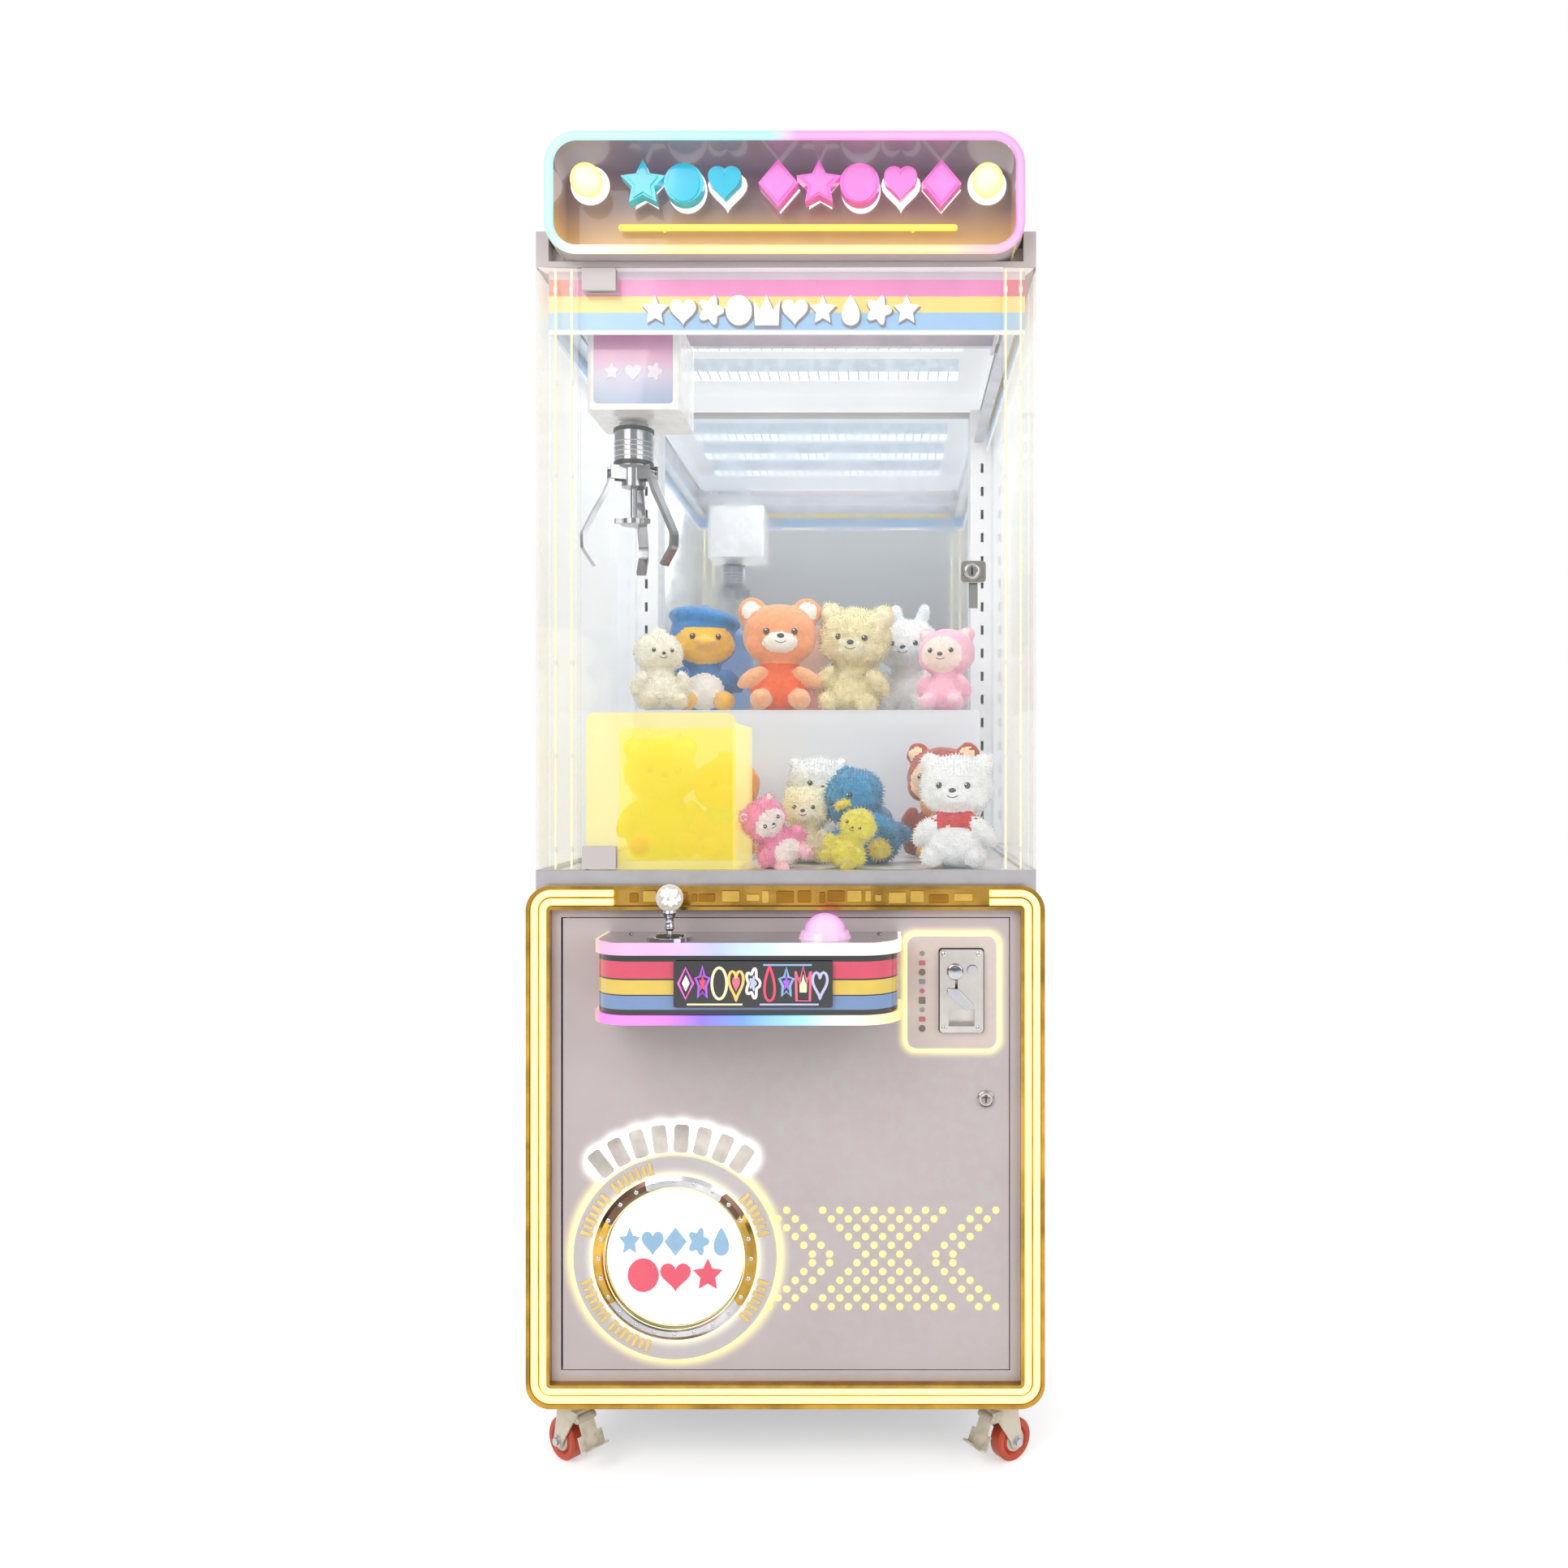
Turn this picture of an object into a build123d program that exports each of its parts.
"""Claw crane machine: lower cabinet on casters, glass house with a gantry claw, and a lit marquee.

Millimetres, +Z up, +X to the player's right, -Y towards the player.
The origin is under the middle of the machine's bounding box, on the floor.
"""
from build123d import *
import os
from math import cos, radians, sin, sqrt

# ---------------------------------------------------------------- cabinet envelope
BODY_WIDTH = 776.0          # sheet body and glass house
BEZEL_OVERHANG = 12.0       # light bezel beyond the body, each side
DEPTH = 840.0               # bezel face to rear panel
CONSOLE_REACH = 120.0       # console in front of the bezel face
CASTER_HEIGHT = 105.0
LOWER_HEIGHT = 806.0        # lower cabinet, over the bezel
SILL_HEIGHT = 23.0
WINDOW_HEIGHT = 936.0
CROWN_HEIGHT = 55.0
SHEET = 2.0                 # painted steel sheet
FIT = 0.3                   # running clearance between moving neighbours

OVERALL_DEPTH = DEPTH + CONSOLE_REACH
WIDTH = BODY_WIDTH + 2 * BEZEL_OVERHANG
BEZEL_FACE_Y = OVERALL_DEPTH / 2 - DEPTH
REAR_Y = OVERALL_DEPTH / 2
HALF = BODY_WIDTH / 2
LOWER_Z0 = CASTER_HEIGHT
LOWER_Z1 = LOWER_Z0 + LOWER_HEIGHT
WINDOW_Z0 = LOWER_Z1 + SILL_HEIGHT
WINDOW_Z1 = WINDOW_Z0 + WINDOW_HEIGHT
CROWN_Z1 = WINDOW_Z1 + CROWN_HEIGHT

# ---------------------------------------------------------------- light bezel
BEZEL_BAND = 37.0           # width of the frame seen from the front
BEZEL_PROUD = 14.0          # bezel in front of the body face
BEZEL_WRAP = 16.0           # side lips behind the body face
BEZEL_CORNER = 38.0
BEZEL_LEAST_CORNER = 2.0
BEZEL_LIP = 5.0             # edge left on both sides of the groove
GROOVE_DEPTH = 11.0
NEON_DIAMETER = 11.0
NEON_GAP = 2.5
NEON_LEFT_INSET = 134.0     # the tubes stop here along the top edge, from each side
NEON_RIGHT_INSET = 85.0
BODY_FACE_Y = BEZEL_FACE_Y + BEZEL_PROUD
NEON_TOP_LEFT = NEON_LEFT_INSET - WIDTH / 2
NEON_TOP_RIGHT = WIDTH / 2 - NEON_RIGHT_INSET

# ---------------------------------------------------------------- lower cabinet
SHELL_INSET = 12.0          # body sheet above the bezel's lower edge
PAN_HEIGHT = 40.0
PAN_SHEET = 3.0
UPRIGHT_LEG = 40.0
UPRIGHT_SHEET = 3.0
REAR_SHEET = 3.0
DECK_THICKNESS = 19.0
SILL_DEPTH = 20.0           # front sill, front to back
SILL_SIDE = 16.0            # side and rear sill width

# ---------------------------------------------------------------- service door
DOOR_SIDE = 54.0            # door to the bezel's outer side
DOOR_DROP = 51.0            # door's top under the bezel's upper edge
DOOR_RISE = 55.0            # door above the bezel's lower edge
DOOR_DEPTH = 22.0
DOOR_GAP = 1.5
DOOR_HINGE_GAP = 3.0
DOOR_PIVOT_INSET = 6.0      # pivot from the leaf's left and front faces
DOOR_PIN_RADIUS = 2.5
DOOR_BRACKET = 8.0          # bracket height on the pivot pin
LOCK_INSET = 36.0           # barrel from the door's right side
LOCK_DROP = 281.0           # barrel under the door's top
LOCK_RADIUS = 13.5
LOCK_CAM_GAP = 0.9          # cam behind the door
LOCK_KEY_HALF = 0.6
CAM_LENGTH = 45.0
CAM_WIDTH = 14.0
CAM_SHEET = 3.0

DOOR_X0 = DOOR_SIDE - WIDTH / 2
DOOR_X1 = WIDTH / 2 - DOOR_SIDE
DOOR_Z0 = LOWER_Z0 + DOOR_RISE
DOOR_Z1 = LOWER_Z1 - DOOR_DROP
LOCK_X = DOOR_X1 - LOCK_INSET
LOCK_Z = DOOR_Z1 - LOCK_DROP
DOOR_BACK_Y = BODY_FACE_Y + DOOR_DEPTH
DOOR_PIVOT_X = DOOR_X0 + DOOR_PIVOT_INSET
DOOR_PIVOT_Y = BODY_FACE_Y + DOOR_PIVOT_INSET

# ---------------------------------------------------------------- prize outlet
OUTLET_INSET = 175.0        # outlet's middle from the door's left side
OUTLET_RISE = 176.0         # outlet's middle above the door's foot
OUTLET_RADIUS = 109.0       # clear opening
OUTLET_BEZEL_WIDTH = 18.0
OUTLET_BEZEL_PROUD = 12.0
OUTLET_RING_WIDTH = 30.0
OUTLET_RING_PROUD = 8.0
FLAP_GAP = 2.5
FLAP_THICKNESS = 4.0
FLAP_HANG = 12.0            # pivot behind the door face
FLAP_RISE = 3.0             # pivot above the clear opening
FLAP_BARREL = 4.0
FLAP_PIN = 2.0
FLAP_BARREL_HALF = 30.0      # half length of the flap's barrel
FLAP_LUG = 8.0
TILE_COUNT = 8
TILE_WIDTH = 23.0
TILE_HEIGHT = 44.0
TILE_PROUD = 10.0
TILE_CLEARANCE = 6.0        # tile's lower edge beyond the ring
TILE_FIRST_ANGLE = -38.0    # degrees from the top, clockwise positive
TILE_LAST_ANGLE = 34.0

OUTLET_X = DOOR_X0 + OUTLET_INSET
OUTLET_Z = DOOR_Z0 + OUTLET_RISE
FLAP_RADIUS = OUTLET_RADIUS - FLAP_GAP
FLAP_PIVOT_Y = BODY_FACE_Y + FLAP_HANG
FLAP_PIVOT_Z = OUTLET_Z + OUTLET_RADIUS + FLAP_RISE

# ---------------------------------------------------------------- perforated light field
DOT_RADIUS = 6.0
DOT_PITCH_X = 26.6
DOT_PITCH_Z = 13.6
DOT_OFFSET = 321.0          # field's middle from the outlet's
DOT_RISE = 97.0             # lowest row above the door's foot
CHEVRON_REACH = 129.0       # chevron points from the field's middle
DOT_ROW_COUNTS = (9, 8, 7, 6, 5, 4, 3, 4, 5, 6, 7, 8)

DOT_CENTRE_X = OUTLET_X + DOT_OFFSET
DOT_FIRST_Z = DOOR_Z0 + DOT_RISE
CHEVRON_LEFT_X = DOT_CENTRE_X - CHEVRON_REACH
CHEVRON_RIGHT_X = DOT_CENTRE_X + CHEVRON_REACH

# ---------------------------------------------------------------- coin unit
COIN_WIDTH = 138.0
COIN_HEIGHT = 173.0
COIN_INSET = 20.0           # plate from the door's right side
COIN_DROP = 28.0            # plate under the door's top
COIN_PLATE = 6.0
COIN_CORNER = 14.0
ACCEPTOR_WIDTH = 67.0
ACCEPTOR_HEIGHT = 128.0
ACCEPTOR_PROUD = 8.0
ACCEPTOR_DEPTH = 56.0       # mechanism behind the plate
ACCEPTOR_RIM = 5.0
ACCEPTOR_INSET = 54.5       # acceptor's middle from the plate's right side
ACCEPTOR_DROP = 83.0        # acceptor's middle under the plate's top
REJECT_RADIUS = 8.0
REJECT_PROUD = 5.0
REJECT_TRAVEL = 4.0
REJECT_LENGTH = 14.0
SLOT_WIDTH = 4.0
SLOT_HEIGHT = 30.0
SLOT_DEPTH = 20.0
CUP_WIDTH = 40.0
CUP_HEIGHT = 26.0

COIN_X1 = DOOR_X1 - COIN_INSET
COIN_X0 = COIN_X1 - COIN_WIDTH
COIN_Z1 = DOOR_Z1 - COIN_DROP
COIN_Z0 = COIN_Z1 - COIN_HEIGHT
ACCEPTOR_X = COIN_X1 - ACCEPTOR_INSET
ACCEPTOR_Z = COIN_Z1 - ACCEPTOR_DROP
REJECT_X = ACCEPTOR_X + ACCEPTOR_WIDTH / 4
REJECT_Z = ACCEPTOR_Z + ACCEPTOR_HEIGHT / 4

# ---------------------------------------------------------------- console
CONSOLE_INSET = 69.0        # console from the door's left side
CONSOLE_GAP = 10.0          # console to the coin plate
CONSOLE_DROP = 21.0         # console's top under the door's
CONSOLE_HEIGHT = 119.0
CONSOLE_CORNER = 60.0
CONSOLE_WALL = 3.0
RIM_TOP_HEIGHT = 18.0
RIM_BOTTOM_HEIGHT = 14.0
RIM_PROUD = 5.0
STICK_INSET = 110.0         # stick from the console's left end
STICK_SETBACK = 55.0        # stick behind the console's front
STICK_BALL_RADIUS = 20.5
STICK_BALL_RISE = 60.0      # ball centre above the console top
STICK_SHAFT_RADIUS = 5.0
STICK_PIVOT_DROP = 24.0     # pivot below the console top
STICK_PLATE_RADIUS = 34.0
STICK_PLATE_THICKNESS = 3.0
STICK_HOLE_RADIUS = 17.5
YOKE_SIZE = 38.0
YOKE_WALL = 6.0
YOKE_HEIGHT = 12.0
YOKE_PIN_RADIUS = 2.5
YOKE_LUG = 6.0
BUTTON_INSET = 114.0        # button from the console's right end
BUTTON_SETBACK = 60.0       # button behind the console's front
BUTTON_RING_RADIUS = 39.0
BUTTON_RING_HEIGHT = 10.0
BUTTON_RADIUS = 29.5
BUTTON_RISE = 37.0          # dome top above the console top
BUTTON_TRAVEL = 4.0
BUTTON_STEM = 30.0

CONSOLE_X0 = DOOR_X0 + CONSOLE_INSET
CONSOLE_X1 = COIN_X0 - CONSOLE_GAP
CONSOLE_Z1 = DOOR_Z1 - CONSOLE_DROP
CONSOLE_Z0 = CONSOLE_Z1 - CONSOLE_HEIGHT
CONSOLE_FACE_Y = -OVERALL_DEPTH / 2
STICK_X = CONSOLE_X0 + STICK_INSET
STICK_Y = CONSOLE_FACE_Y + STICK_SETBACK
BUTTON_X = CONSOLE_X1 - BUTTON_INSET
BUTTON_Y = CONSOLE_FACE_Y + BUTTON_SETBACK
STICK_PIVOT_Z = CONSOLE_Z1 - STICK_PIVOT_DROP

# ---------------------------------------------------------------- glass house
POST_SIZE = 50.0
POST_WALL = 3.0
POST_SLOT_WIDTH = 6.0
POST_SLOT_HEIGHT = 20.0
POST_SLOT_PITCH = 50.0
COVER_FRONT = 65.0          # left corner cover, across the front
COVER_FRONT_RIGHT = 51.0
COVER_SIDE = 61.0
COVER_SHEET = 4.0
SIDE_GLASS = 6.0
MIRROR_SHEET = 5.0
GLASS_SHEET = 8.0
GLASS_SETBACK = 2.0         # glass behind the body face
GLASS_GAP = 3.0             # to the corner covers
GLASS_END_GAP = 4.0         # to the sill and the crown
PATCH_WIDTH = 52.0
PATCH_HEIGHT = 35.0
PATCH_SIDE = 5.0            # patch metal on each side of the glass
PATCH_INSET = 4.0           # patch from the glass's edge
PATCH_GAP = 2.0             # patch to the sill and the crown
GLASS_PIVOT_INSET = 10.0
GLASS_PIN_RADIUS = 3.0
GLASS_PIN_LENGTH = 6.0      # into the sill and the crown
GLASS_LOCK_INSET = 43.0     # barrel from the glass's right edge
GLASS_LOCK_RISE = 463.0     # barrel above the window's foot
GLASS_LOCK_RADIUS = 14.0
GLASS_CAM_LENGTH = 55.0
CROWN_WALL = 30.0
CROWN_ROOF = 16.0
HEADER_HEIGHT = 98.0
HEADER_SHEET = 3.0
HEADER_SETBACK = 19.0       # band behind the body face
HEADER_INSET = 15.0         # band's wings inside the body's sides
HEADER_REAR_GAP = 27.0      # wings to the rear posts
LAMP_INSET = 88.0           # lamps inside the body's sides
LAMP_DEPTH = 60.0
LAMP_HEIGHT = 25.0
LAMP_RIB_PITCH = 20.0
LAMP_RIB_DEPTH = 3.0
LAMP_COUNT = 3
LAMP_PITCH = 180.0
LAMP_FIRST = 160.0          # first lamp behind the marquee

GLASS_X0 = -HALF + COVER_FRONT + GLASS_GAP
GLASS_X1 = HALF - COVER_FRONT_RIGHT - GLASS_GAP
GLASS_Y0 = BODY_FACE_Y + GLASS_SETBACK
GLASS_Y1 = GLASS_Y0 + GLASS_SHEET
GLASS_Z0 = WINDOW_Z0 + GLASS_END_GAP
GLASS_Z1 = WINDOW_Z1 - GLASS_END_GAP
GLASS_PIVOT_X = GLASS_X0 + GLASS_PIVOT_INSET
GLASS_PIVOT_Y = (GLASS_Y0 + GLASS_Y1) / 2
DECK_Z0 = LOWER_Z1
DECK_Z1 = DECK_Z0 + DECK_THICKNESS
INNER_REAR_Y = REAR_Y - REAR_SHEET
POST_Y0 = INNER_REAR_Y - POST_SIZE
ROOF_Z = CROWN_Z1 - CROWN_ROOF
GLASS_LOCK_X = GLASS_X1 - GLASS_LOCK_INSET
GLASS_LOCK_Z = WINDOW_Z0 + GLASS_LOCK_RISE
HEADER_Y = BODY_FACE_Y + HEADER_SETBACK
HEADER_SIDE_X = HALF - HEADER_INSET
HEADER_REAR_Y = POST_Y0 - HEADER_REAR_GAP
LAMP_LENGTH = 2 * (HALF - LAMP_INSET)

# ---------------------------------------------------------------- marquee
MARQUEE_INSET = 20.0        # box inside the body's sides
MARQUEE_HEIGHT = 188.0
MARQUEE_DROP = 46.0         # lower edge under the crown's top
MARQUEE_PROUD = 34.0        # edge tube in front of the body face
MARQUEE_DEPTH = 100.0
MARQUEE_WALL = 14.0
MARQUEE_BACK = 10.0
MARQUEE_CORNER = 50.0
MARQUEE_TUBE = 7.0          # edge tube's radius
MARQUEE_NOTCH_GAP = 0.5
BULB_RADIUS = 25.0
BULB_INSET = 54.0           # lamps from the box's ends
BULB_RISE = 134.0           # above the box's lower edge
BULB_BASE_RADIUS = 14.0
BAR_INSET = 104.0
BAR_RADIUS = 5.0
BAR_STAY_INSET = 66.0       # stays from the bar's ends
BAR_STAY_RADIUS = 2.5
BAR_RISE = 70.0
SHAPE_THICKNESS = 22.0
SHAPE_STANDOFF = 14.0
SHAPE_RISE = 131.0
STAR_DEPTH = 0.5            # inner points as a share of the outer
SHAPE_INSET = 142.0         # first shape from the box's end
SHAPE_INSET_RIGHT = 126.0   # last shape from the box's end
SHAPE_GROUP_GAP = 20.0      # extra room between the two groups
SHAPE_SIZE_SHARE = 0.96875  # widths and heights as shares of the pitch
SHAPE_HEIGHT_SHARE = 1.15625
SHAPE_LEFT_KINDS = ("star", "disc", "heart")
SHAPE_RIGHT_KINDS = ("diamond", "star", "disc", "heart", "diamond")

MARQUEE_WIDTH = BODY_WIDTH - 2 * MARQUEE_INSET
MARQUEE_FACE_Y = BODY_FACE_Y - MARQUEE_PROUD
BULB_X = MARQUEE_WIDTH / 2 - BULB_INSET
BAR_HALF_LENGTH = MARQUEE_WIDTH / 2 - BAR_INSET
SHAPE_STEPS = len(SHAPE_LEFT_KINDS) + len(SHAPE_RIGHT_KINDS) - 1
SHAPE_PITCH = (MARQUEE_WIDTH - SHAPE_INSET - SHAPE_INSET_RIGHT - SHAPE_GROUP_GAP) / SHAPE_STEPS
SHAPE_SIZE = SHAPE_PITCH * SHAPE_SIZE_SHARE
SHAPE_HEIGHT = SHAPE_PITCH * SHAPE_HEIGHT_SHARE
SHAPE_LEFT_FIRST_X = SHAPE_INSET - MARQUEE_WIDTH / 2
SHAPE_RIGHT_FIRST_X = SHAPE_LEFT_FIRST_X + len(SHAPE_LEFT_KINDS) * SHAPE_PITCH + SHAPE_GROUP_GAP
MARQUEE_Z0 = CROWN_Z1 - MARQUEE_DROP
MARQUEE_Z1 = MARQUEE_Z0 + MARQUEE_HEIGHT
MARQUEE_BOX_Y = MARQUEE_FACE_Y + MARQUEE_TUBE
MARQUEE_REAR_Y = MARQUEE_FACE_Y + MARQUEE_DEPTH
MARQUEE_PANEL_Y = MARQUEE_REAR_Y - MARQUEE_BACK

# ---------------------------------------------------------------- chute, guard and shelf
GUARD_INSET = 73.0          # guard from the body's left side
GUARD_WIDTH = 234.0
GUARD_SETBACK = 21.0        # guard behind the body face
GUARD_DEPTH = 250.0
GUARD_HEIGHT = 250.0
GUARD_WALL = 5.0
GUARD_CORNER = 16.0
CHUTE_INSET = 48.0          # duct from the body's left side
CHUTE_SHEET = 2.0
CHUTE_BIN_EXTRA = 34.0      # bin beyond the duct
CHUTE_BIN_RISE = 134.0      # bin's top above the outlet's middle
CHUTE_FRONT_DROP = 114.0    # floor under the outlet's middle, at the front
CHUTE_REAR_DROP = 74.0
GUARD_X0 = GUARD_INSET - HALF
GUARD_X1 = GUARD_X0 + GUARD_WIDTH
GUARD_Y0 = BODY_FACE_Y + GUARD_SETBACK
GUARD_Y1 = GUARD_Y0 + GUARD_DEPTH
CHUTE_X0 = CHUTE_INSET - HALF
CHUTE_X1 = GUARD_X1 - GUARD_WALL
CHUTE_BIN_X1 = CHUTE_X1 + CHUTE_BIN_EXTRA
CHUTE_BIN_TOP = OUTLET_Z + CHUTE_BIN_RISE
CHUTE_FLOOR_FRONT = OUTLET_Z - CHUTE_FRONT_DROP
CHUTE_FLOOR_REAR = OUTLET_Z - CHUTE_REAR_DROP
CHUTE_Y0 = GUARD_Y0 + GUARD_WALL
CHUTE_Y1 = GUARD_Y1 - GUARD_WALL
SHELF_INSET = 52.0          # shelf inside the body's sides
SHELF_REACH = 340.0         # shelf's front from the rear face
SHELF_RISE = 277.0          # shelf top above the deck
SHELF_SHEET = 6.0
SHELF_HALF = HALF - SHELF_INSET
SHELF_Y0 = REAR_Y - SHELF_REACH
SHELF_Z = DECK_Z1 + SHELF_RISE

# ---------------------------------------------------------------- gantry
RAIL_INSET = 23.0           # rails inside the body's sides
RAIL_FLANGE = 20.0
RAIL_SHEET = 4.0
RAIL_FLANGE_SHEET = 6.0
RAIL_HEIGHT = 70.0
RAIL_SETBACK = 28.0         # rails behind the body face
CLAW_INSET = 126.0          # home, over the chute: from the body's left side
CLAW_SETBACK = 131.0        # and behind the body face
BRIDGE_INSET = 24.0         # bridge ends inside the rails' outer faces
BRIDGE_END_SHEET = 6.0
BRIDGE_END_HALF = 97.0
BRIDGE_BEAM_INNER = 50.0
BRIDGE_BEAM_WIDTH = 12.0
BRIDGE_BEAM_HEIGHT = 24.0
BEAM_CLEARANCE = 2.0        # beams above the rails' running face
BRIDGE_END_HEIGHT = 34.0
BRIDGE_WHEEL_RADIUS = 12.0
BRIDGE_WHEEL_WIDTH = 12.0
BRIDGE_AXLE_RADIUS = 4.0
BRIDGE_AXLE_OFFSET = 86.0
TROLLEY_HALF_X = 55.0
TROLLEY_HALF_Y = 47.0
TROLLEY_SHEET = 3.0
TROLLEY_TOP_SHEET = 4.0
TROLLEY_SHOE = 10.0
TROLLEY_SHOE_LENGTH = 20.0
COVER_BOX = 150.0           # crane cover, square
COVER_BOX_HEIGHT = 138.0
COVER_BOX_OFFSET = 14.0      # cover's middle beside the cord
COVER_BOX_CLEARANCE = 3.0   # cover under the rails' running face
COVER_BOX_WALL = 3.0
COVER_BOX_CORNER = 10.0
DRUM_RADIUS = 20.0
DRUM_FLANGE = 27.0
DRUM_HALF = 20.0
DRUM_FLANGE_SHEET = 2.0
DRUM_SHAFT = 4.0
DRUM_BRACKET_Y = 30.0
DRUM_BRACKET_WIDTH = 40.0
DRUM_RISE = 92.0            # drum centre above the cover's underside
MOTOR_RADIUS = 15.0
MOTOR_LENGTH = 34.0
CORD_RADIUS = 1.5
CORD_HOLE_RADIUS = 6.0      # in the crane cover's floor

RAIL_OUTER = HALF - RAIL_INSET
RAIL_Y0 = BODY_FACE_Y + RAIL_SETBACK
RAIL_Y1 = POST_Y0
CLAW_X = CLAW_INSET - HALF
CLAW_Y = BODY_FACE_Y + CLAW_SETBACK
BRIDGE_HALF_SPAN = RAIL_OUTER - BRIDGE_INSET
RAIL_Z0 = WINDOW_Z1 - RAIL_HEIGHT
RAIL_TOP_Z = RAIL_Z0 + RAIL_FLANGE_SHEET
AXLE_Z = RAIL_TOP_Z + BRIDGE_WHEEL_RADIUS + FIT
BEAM_Z0 = RAIL_TOP_Z + BEAM_CLEARANCE
BEAM_Z1 = BEAM_Z0 + BRIDGE_BEAM_HEIGHT
TROLLEY_TOP_Z = BEAM_Z1 + FIT + TROLLEY_SHOE
COVER_BOX_Z1 = RAIL_TOP_Z - COVER_BOX_CLEARANCE
COVER_BOX_Z0 = COVER_BOX_Z1 - COVER_BOX_HEIGHT
DRUM_X = CLAW_X + DRUM_RADIUS + CORD_RADIUS + FIT
DRUM_Z = COVER_BOX_Z0 + DRUM_RISE

# ---------------------------------------------------------------- claw
CLAW_GAP = 4.0              # collar under the crane cover
COLLAR_RADIUS = 24.0
COLLAR_HEIGHT = 8.0
COIL_RADIUS = 31.5
COIL_HEIGHT = 64.0
NECK_RADIUS = 20.0
NECK_HEIGHT = 32.0
ARM_COUNT = 3
ARM_FIRST_ANGLE = 210.0     # degrees from +X, seen from above
ARM_PIVOT_RADIUS = 34.0
ARM_PIVOT_DROP = 11.0       # under the coil housing
ARM_WIDTH = 16.0
ARM_THICKNESS = 7.0
ARM_KNUCKLE = 6.0
ARM_PIN = 2.5
ARM_BEND = 12.0
ARM_POINTS = ((0.0, 0.0), (14.0, -34.0), (30.0, -62.0), (51.0, -104.0), (50.0, -126.0), (30.0, -154.0))
LUG_SHEET = 3.0
LUG_REACH = 8.0             # lug beyond the pivot
PLUNGER_RADIUS = 5.5
PLUNGER_TRAVEL = 18.0
PLUNGER_LENGTH = 116.0
SPIDER_RADIUS = 22.0
SPIDER_HEIGHT = 8.0
SPIDER_DROP = 94.0          # spider's underside under the coil housing
SPIDER_LUG = 10.0
SPIDER_LUG_WIDTH = 8.0

COLLAR_Z1 = COVER_BOX_Z0 - CLAW_GAP
COIL_Z1 = COLLAR_Z1 - COLLAR_HEIGHT
COIL_Z0 = COIL_Z1 - COIL_HEIGHT
ARM_PIVOT_Z = COIL_Z0 - ARM_PIVOT_DROP
SPIDER_Z0 = COIL_Z0 - SPIDER_DROP

# ---------------------------------------------------------------- casters
CASTER_INSET = 54.0         # swivel axis from the body's side
CASTER_FRONT_SETBACK = 30.0  # swivel axis behind the body face
CASTER_REAR_SETBACK = 55.0  # rear axle from the rear face
CASTER_PLATE_X = 66.0
CASTER_PLATE_Y = 56.0
CASTER_PLATE = 4.0
CASTER_RACE_RADIUS = 19.0
CASTER_RACE = 11.0
CASTER_CROWN = 4.0
CASTER_LEG_SHEET = 3.0
CASTER_LEG_TOP = 46.0
CASTER_LEG_FOOT = 11.0      # radius round the axle
CASTER_TRAIL = 22.0
WHEEL_RADIUS = 33.0
WHEEL_WIDTH = 24.0
WHEEL_HUB_RADIUS = 20.0
WHEEL_DISH = 3.0
AXLE_RADIUS = 4.0
SIDE_PLAY = 2.0             # wheel to fork leg
LEFT_SWIVEL = -40.0
RIGHT_SWIVEL = 35.0
PEDAL_WIDTH = 44.0
PEDAL_SHEET = 3.0
PEDAL_TILT = 26.0           # degrees from upright
PEDAL_LENGTH = 46.0
PEDAL_TOE = 12.0
PEDAL_PIVOT_X = 26.0        # ahead of the swivel axis
PEDAL_PIVOT_Z = 79.0
PEDAL_PIN = 2.5

CASTER_X = HALF - CASTER_INSET
CASTER_FRONT_Y = BODY_FACE_Y + CASTER_FRONT_SETBACK
CASTER_REAR_Y = REAR_Y - CASTER_REAR_SETBACK

# ---------------------------------------------------------------- electrics
SUPPLY_SIZE = (180.0, 120.0, 60.0)
SUPPLY_INSET = 258.0        # supply's middle from the body's right side
SUPPLY_SETBACK = 150.0      # and from the rear face
CONTROLLER_SIZE = (220.0, 40.0, 160.0)
CONTROLLER_INSET = 268.0
CONTROLLER_DROP = 351.0     # controller's middle under the deck
INLET_WIDTH = 30.0
INLET_HEIGHT = 46.0
INLET_DEPTH = 30.0
INLET_WALL = 3.0
INLET_INSET = 138.0         # inlet from the body's left side
INLET_RISE = 105.0          # inlet above the cabinet's foot
LOUVRE_COUNT = 8
LOUVRE_WIDTH = 160.0
LOUVRE_HEIGHT = 6.0
LOUVRE_PITCH = 18.0
LOUVRE_RISE = 275.0         # lowest louvre above the cabinet's foot

SUPPLY_X = HALF - SUPPLY_INSET
SUPPLY_Y = REAR_Y - SUPPLY_SETBACK
CONTROLLER_X = HALF - CONTROLLER_INSET
CONTROLLER_Z = LOWER_Z1 - CONTROLLER_DROP
INLET_X = INLET_INSET - HALF
INLET_Z = LOWER_Z0 + INLET_RISE
LOUVRE_Z = LOWER_Z0 + LOUVRE_RISE

# ---------------------------------------------------------------- prizes
SHELF_FIELD = 776.0         # widths that the two tables are laid out for
DECK_FIELD = 469.0
# name: x, y, body radius, head radius, ear radius; x from the middle
SHELF_PRIZES = {
    "cream_ghost": (-285.0, 210.0, 58.0, 44.0, 0.0),
    "blue_duck": (-200.0, 300.0, 70.0, 62.0, 0.0),
    "orange_bear": (-58.0, 230.0, 62.0, 60.0, 20.0),
    "fluffy_bear": (85.0, 250.0, 68.0, 62.0, 18.0),
    "white_bunny": (215.0, 330.0, 62.0, 56.0, 16.0),
    "pink_bear": (262.0, 205.0, 58.0, 54.0, 14.0),
}
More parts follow.
